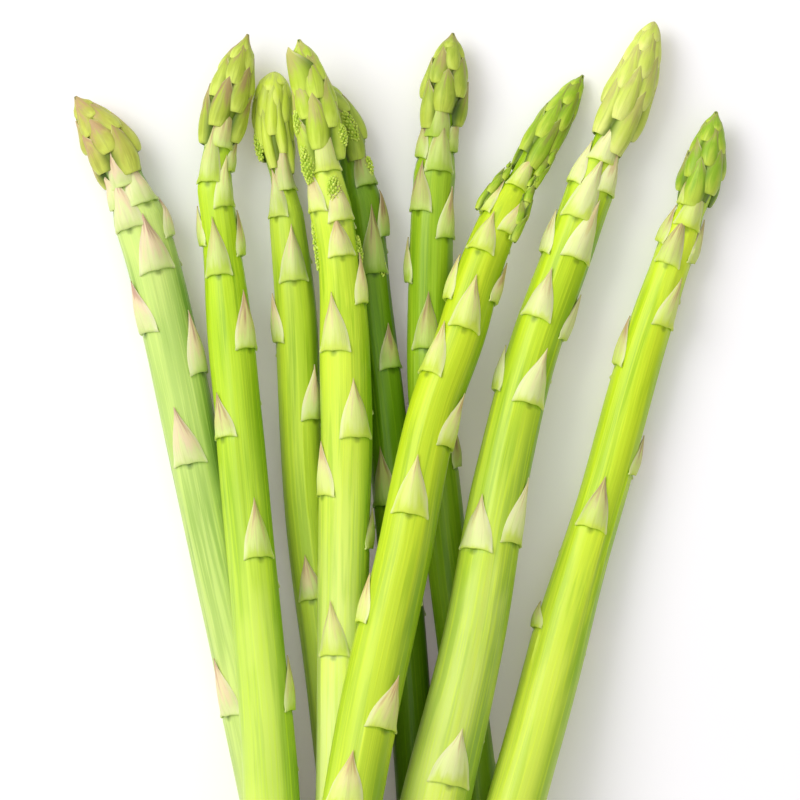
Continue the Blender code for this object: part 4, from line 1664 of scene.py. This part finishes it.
class Bundle:
    """The nine spears, laid on each other in their order."""

    def __init__(self) -> None:
        """Lays out every spear and works out where its leaves grow."""
        self.spears = SPEARS
        by_letter = {spear.name[-1]: spear for spear in self.spears}
        laid: list[Spear] = []
        for layer in Laying:
            for letter in layer.value:
                spear = by_letter[letter]
                spear.lay_out()
                spear.lay_down(laid, FLAT_DEPTH if layer is Laying.ON_THE_SURFACE else 0.0)
                laid.append(spear)
        for spear in self.spears:
            spear.grow_leaves(self.spears)

    def build(self) -> None:
        """Models and dresses every spear, from patterns that are taken away again."""
        self.stem_leaf = STEM_LEAF.model("stem_leaf_pattern")
        self.head_scale = HEAD_SCALE.model("head_scale_pattern")
        self.froth = Froth()
        self.flesh = CutFlesh().made("cut_flesh")
        self.bud_skin = BudSkin().made("bud_skin")
        for spear in self.spears:
            self.build_spear(spear)
        for pattern in (self.stem_leaf, self.head_scale, self.froth.bud):
            bpy.data.objects.remove(pattern)

    def build_spear(self, spear: Spear) -> None:
        """Models every piece of a spear, dresses it and hangs it on the part.

        Args:
            spear: the spear, laid in its place.
        """
        name = spear.name
        tint = spear.tint
        leaf_colours = (mixed(tint.light, tint.leaf), tint.leaf, tint.leaf_middle, tint.leaf_tip)
        scale_colours = (raised(tint.scale, SCALE_LIP), tint.scale, tint.scale_middle, tint.scale_tip)
        painted_crevice_shade = darkened(tint.deep, SCALE_CREVICE)
        stem_skin = StemSkin(tint).made(name + "_stem_skin")
        leaf_skin = LeafSkin(leaf_colours, tint.deep, **STEM_LEAF_PAPER).made(name + "_leaf_skin")
        scale_skin = LeafSkin(scale_colours, painted_crevice_shade, **HEAD_SCALE_PAPER).made(name + "_scale_skin")
        stem = spear.stem()
        cut = spear.cut()
        shade(stem)
        shade(cut)
        leaves = spear.leafy(self.stem_leaf, spear.grown, LEAF_THICKNESS, name + "_leaves")
        head = spear.leafy(self.head_scale, spear.head(), SCALE_THICKNESS, name + "_head")
        dress(stem, name, stem_skin)
        dress(cut, name, self.flesh)
        dress(leaves, name, leaf_skin)
        dress(head, name, scale_skin)
        if spear.froth:
            buds = self.froth.cluster(spear, np.random.default_rng(spear.seed + FROTH_SEED))
            dress(buds, name, self.bud_skin)
        for number, form in enumerate(spear.shoots, start=1):
            shoot = SideShoot(spear, form)
            called = f"{name}_shoot_{number}"
            stalk = shoot.core_piece(called + "_stalk")
            thickness = SCALE_THICKNESS * SHOOT_THINNING
            scales = shoot.leafy(self.head_scale, shoot.leaves(), thickness, called + "_scales")
            dress(stalk, name, self.bud_skin)
            dress(scales, name, scale_skin)


def dress(piece: Piece, node: str, finish: bpy.types.Material) -> None:
    """Gives a piece its finish and makes it stand for its node of the part.

    Args:
        piece: the modelled piece.
        node: the node that it replaces.
        finish: its material.
    """
    piece.data.materials.clear()
    piece.data.materials.append(finish)
    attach(piece, "root")
    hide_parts(node)
    logging.info("%s: %d faces", piece.name, len(piece.data.polygons))


@dataclass
class Studio:
    """The pale floor, the soft lights and the camera that looks straight down."""

    photo_middle: Pair = (0.0, 92.0)  # in the coordinates of the lines
    photo_width: float = 184.0
    photo_height: float = 8.0  # the height over the floor where that width is true
    camera_height: float = 1.6  # in metres, as are the other places and sizes below
    camera_reach: float = 20.0
    floor_size: float = 9.0
    floor_gap: float = 0.0002
    key_place: Triple = (-0.75, 0.55, 0.95)
    key_size: float = 0.8
    key_power: float = 8.6
    sky: Pair = (0.06, 1.09)  # its strength on the dim side and on the bright side
    sky_colour: tuple[float, ...] = (0.98, 0.985, 1.0, 1.0)
    bright_side: Triple = (-0.75, 0.35, 0.60)
    floor_colour: tuple[float, ...] = (0.90, 0.90, 0.905, 1.0)
    floor_glow: tuple[float, ...] = (0.11, 0.082, 0.092, 1.0)  # which lifts the shadows a little

    def build(self) -> None:
        """Makes the floor, the lights and the camera."""
        self.floor()
        self.key_light()
        self.light_sky()
        self.camera()

    def floor(self) -> None:
        """Lays a large white floor just under the part."""
        bpy.ops.mesh.primitive_plane_add(size=self.floor_size, location=(0.0, 0.0, -self.floor_gap))
        floor = bpy.context.object
        floor.name = "floor"
        bench = Bench("white_paper")
        looks = {
            "Base Color": self.floor_colour,
            "Roughness": 0.9,
            "Specular IOR Level": 0.1,
            "Emission Color": self.floor_glow,
            "Emission Strength": 1.0,
        }
        for name, value in looks.items():
            bench.feed(bench.shader.inputs[name], value)
        floor.data.materials.append(bench.material)
        floor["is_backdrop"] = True

    def key_light(self) -> None:
        """Hangs a soft square light at the upper left, which points at the bundle."""
        bpy.ops.object.light_add(type="AREA", location=self.key_place)
        light = bpy.context.object
        light.name = "key"
        light.data.shape = "SQUARE"
        light.data.size = self.key_size
        light.data.energy = self.key_power
        light.visible_camera = False
        light.rotation_mode = "QUATERNION"
        light.rotation_quaternion = (-Vector(self.key_place)).to_track_quat("-Z", "Y")

    def light_sky(self) -> None:
        """Sets a sky that is brighter on the side of the key light, and plain colours."""
        world = bpy.data.worlds.new("pale_sky")
        world.use_nodes = True
        tree = world.node_tree
        direction = tree.nodes.new("ShaderNodeTexCoord")
        towards = tree.nodes.new("ShaderNodeVectorMath")
        towards.operation = "DOT_PRODUCT"
        towards.inputs[1].default_value = Vector(self.bright_side).normalized()
        tree.links.new(direction.outputs["Generated"], towards.inputs[0])
        level = tree.nodes.new("ShaderNodeMapRange")
        level.inputs["From Min"].default_value = -1.0
        level.inputs["To Min"].default_value, level.inputs["To Max"].default_value = self.sky
        tree.links.new(towards.outputs["Value"], level.inputs["Value"])
        sky = tree.nodes["Background"]
        sky.inputs["Color"].default_value = self.sky_colour
        tree.links.new(level.outputs["Result"], sky.inputs["Strength"])
        bpy.context.scene.world = world
        bpy.context.scene.view_settings.view_transform = "Standard"
        bpy.context.scene.view_settings.look = "None"

    def camera(self) -> None:
        """Hangs the camera over the middle of the photographed frame, with a long lens."""
        x = (self.photo_middle[0] - LAYOUT_CENTRE[0]) * MM
        y = (self.photo_middle[1] - LAYOUT_CENTRE[1]) * MM
        bpy.ops.object.camera_add(location=(x, y, self.camera_height), rotation=(0.0, 0.0, 0.0))
        camera = bpy.context.object
        camera.name = "camera"
        away = self.camera_height - self.photo_height * MM
        camera.data.lens = camera.data.sensor_width * away / (self.photo_width * MM)
        camera.data.clip_end = self.camera_reach
        bpy.context.scene.camera = camera


def main() -> None:
    """Builds the bundle and the studio."""
    logging.basicConfig(level=logging.INFO, format="%(message)s")
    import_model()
    solid_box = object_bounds()
    Bundle().build()
    Studio().build()
    boxes = {"cad": solid_box, "visual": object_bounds()}
    boxes = {name: [list(corner) for corner in box] for name, box in boxes.items()}
    logging.info("boxes: %s", boxes)


if __name__ == "__main__":
    main()
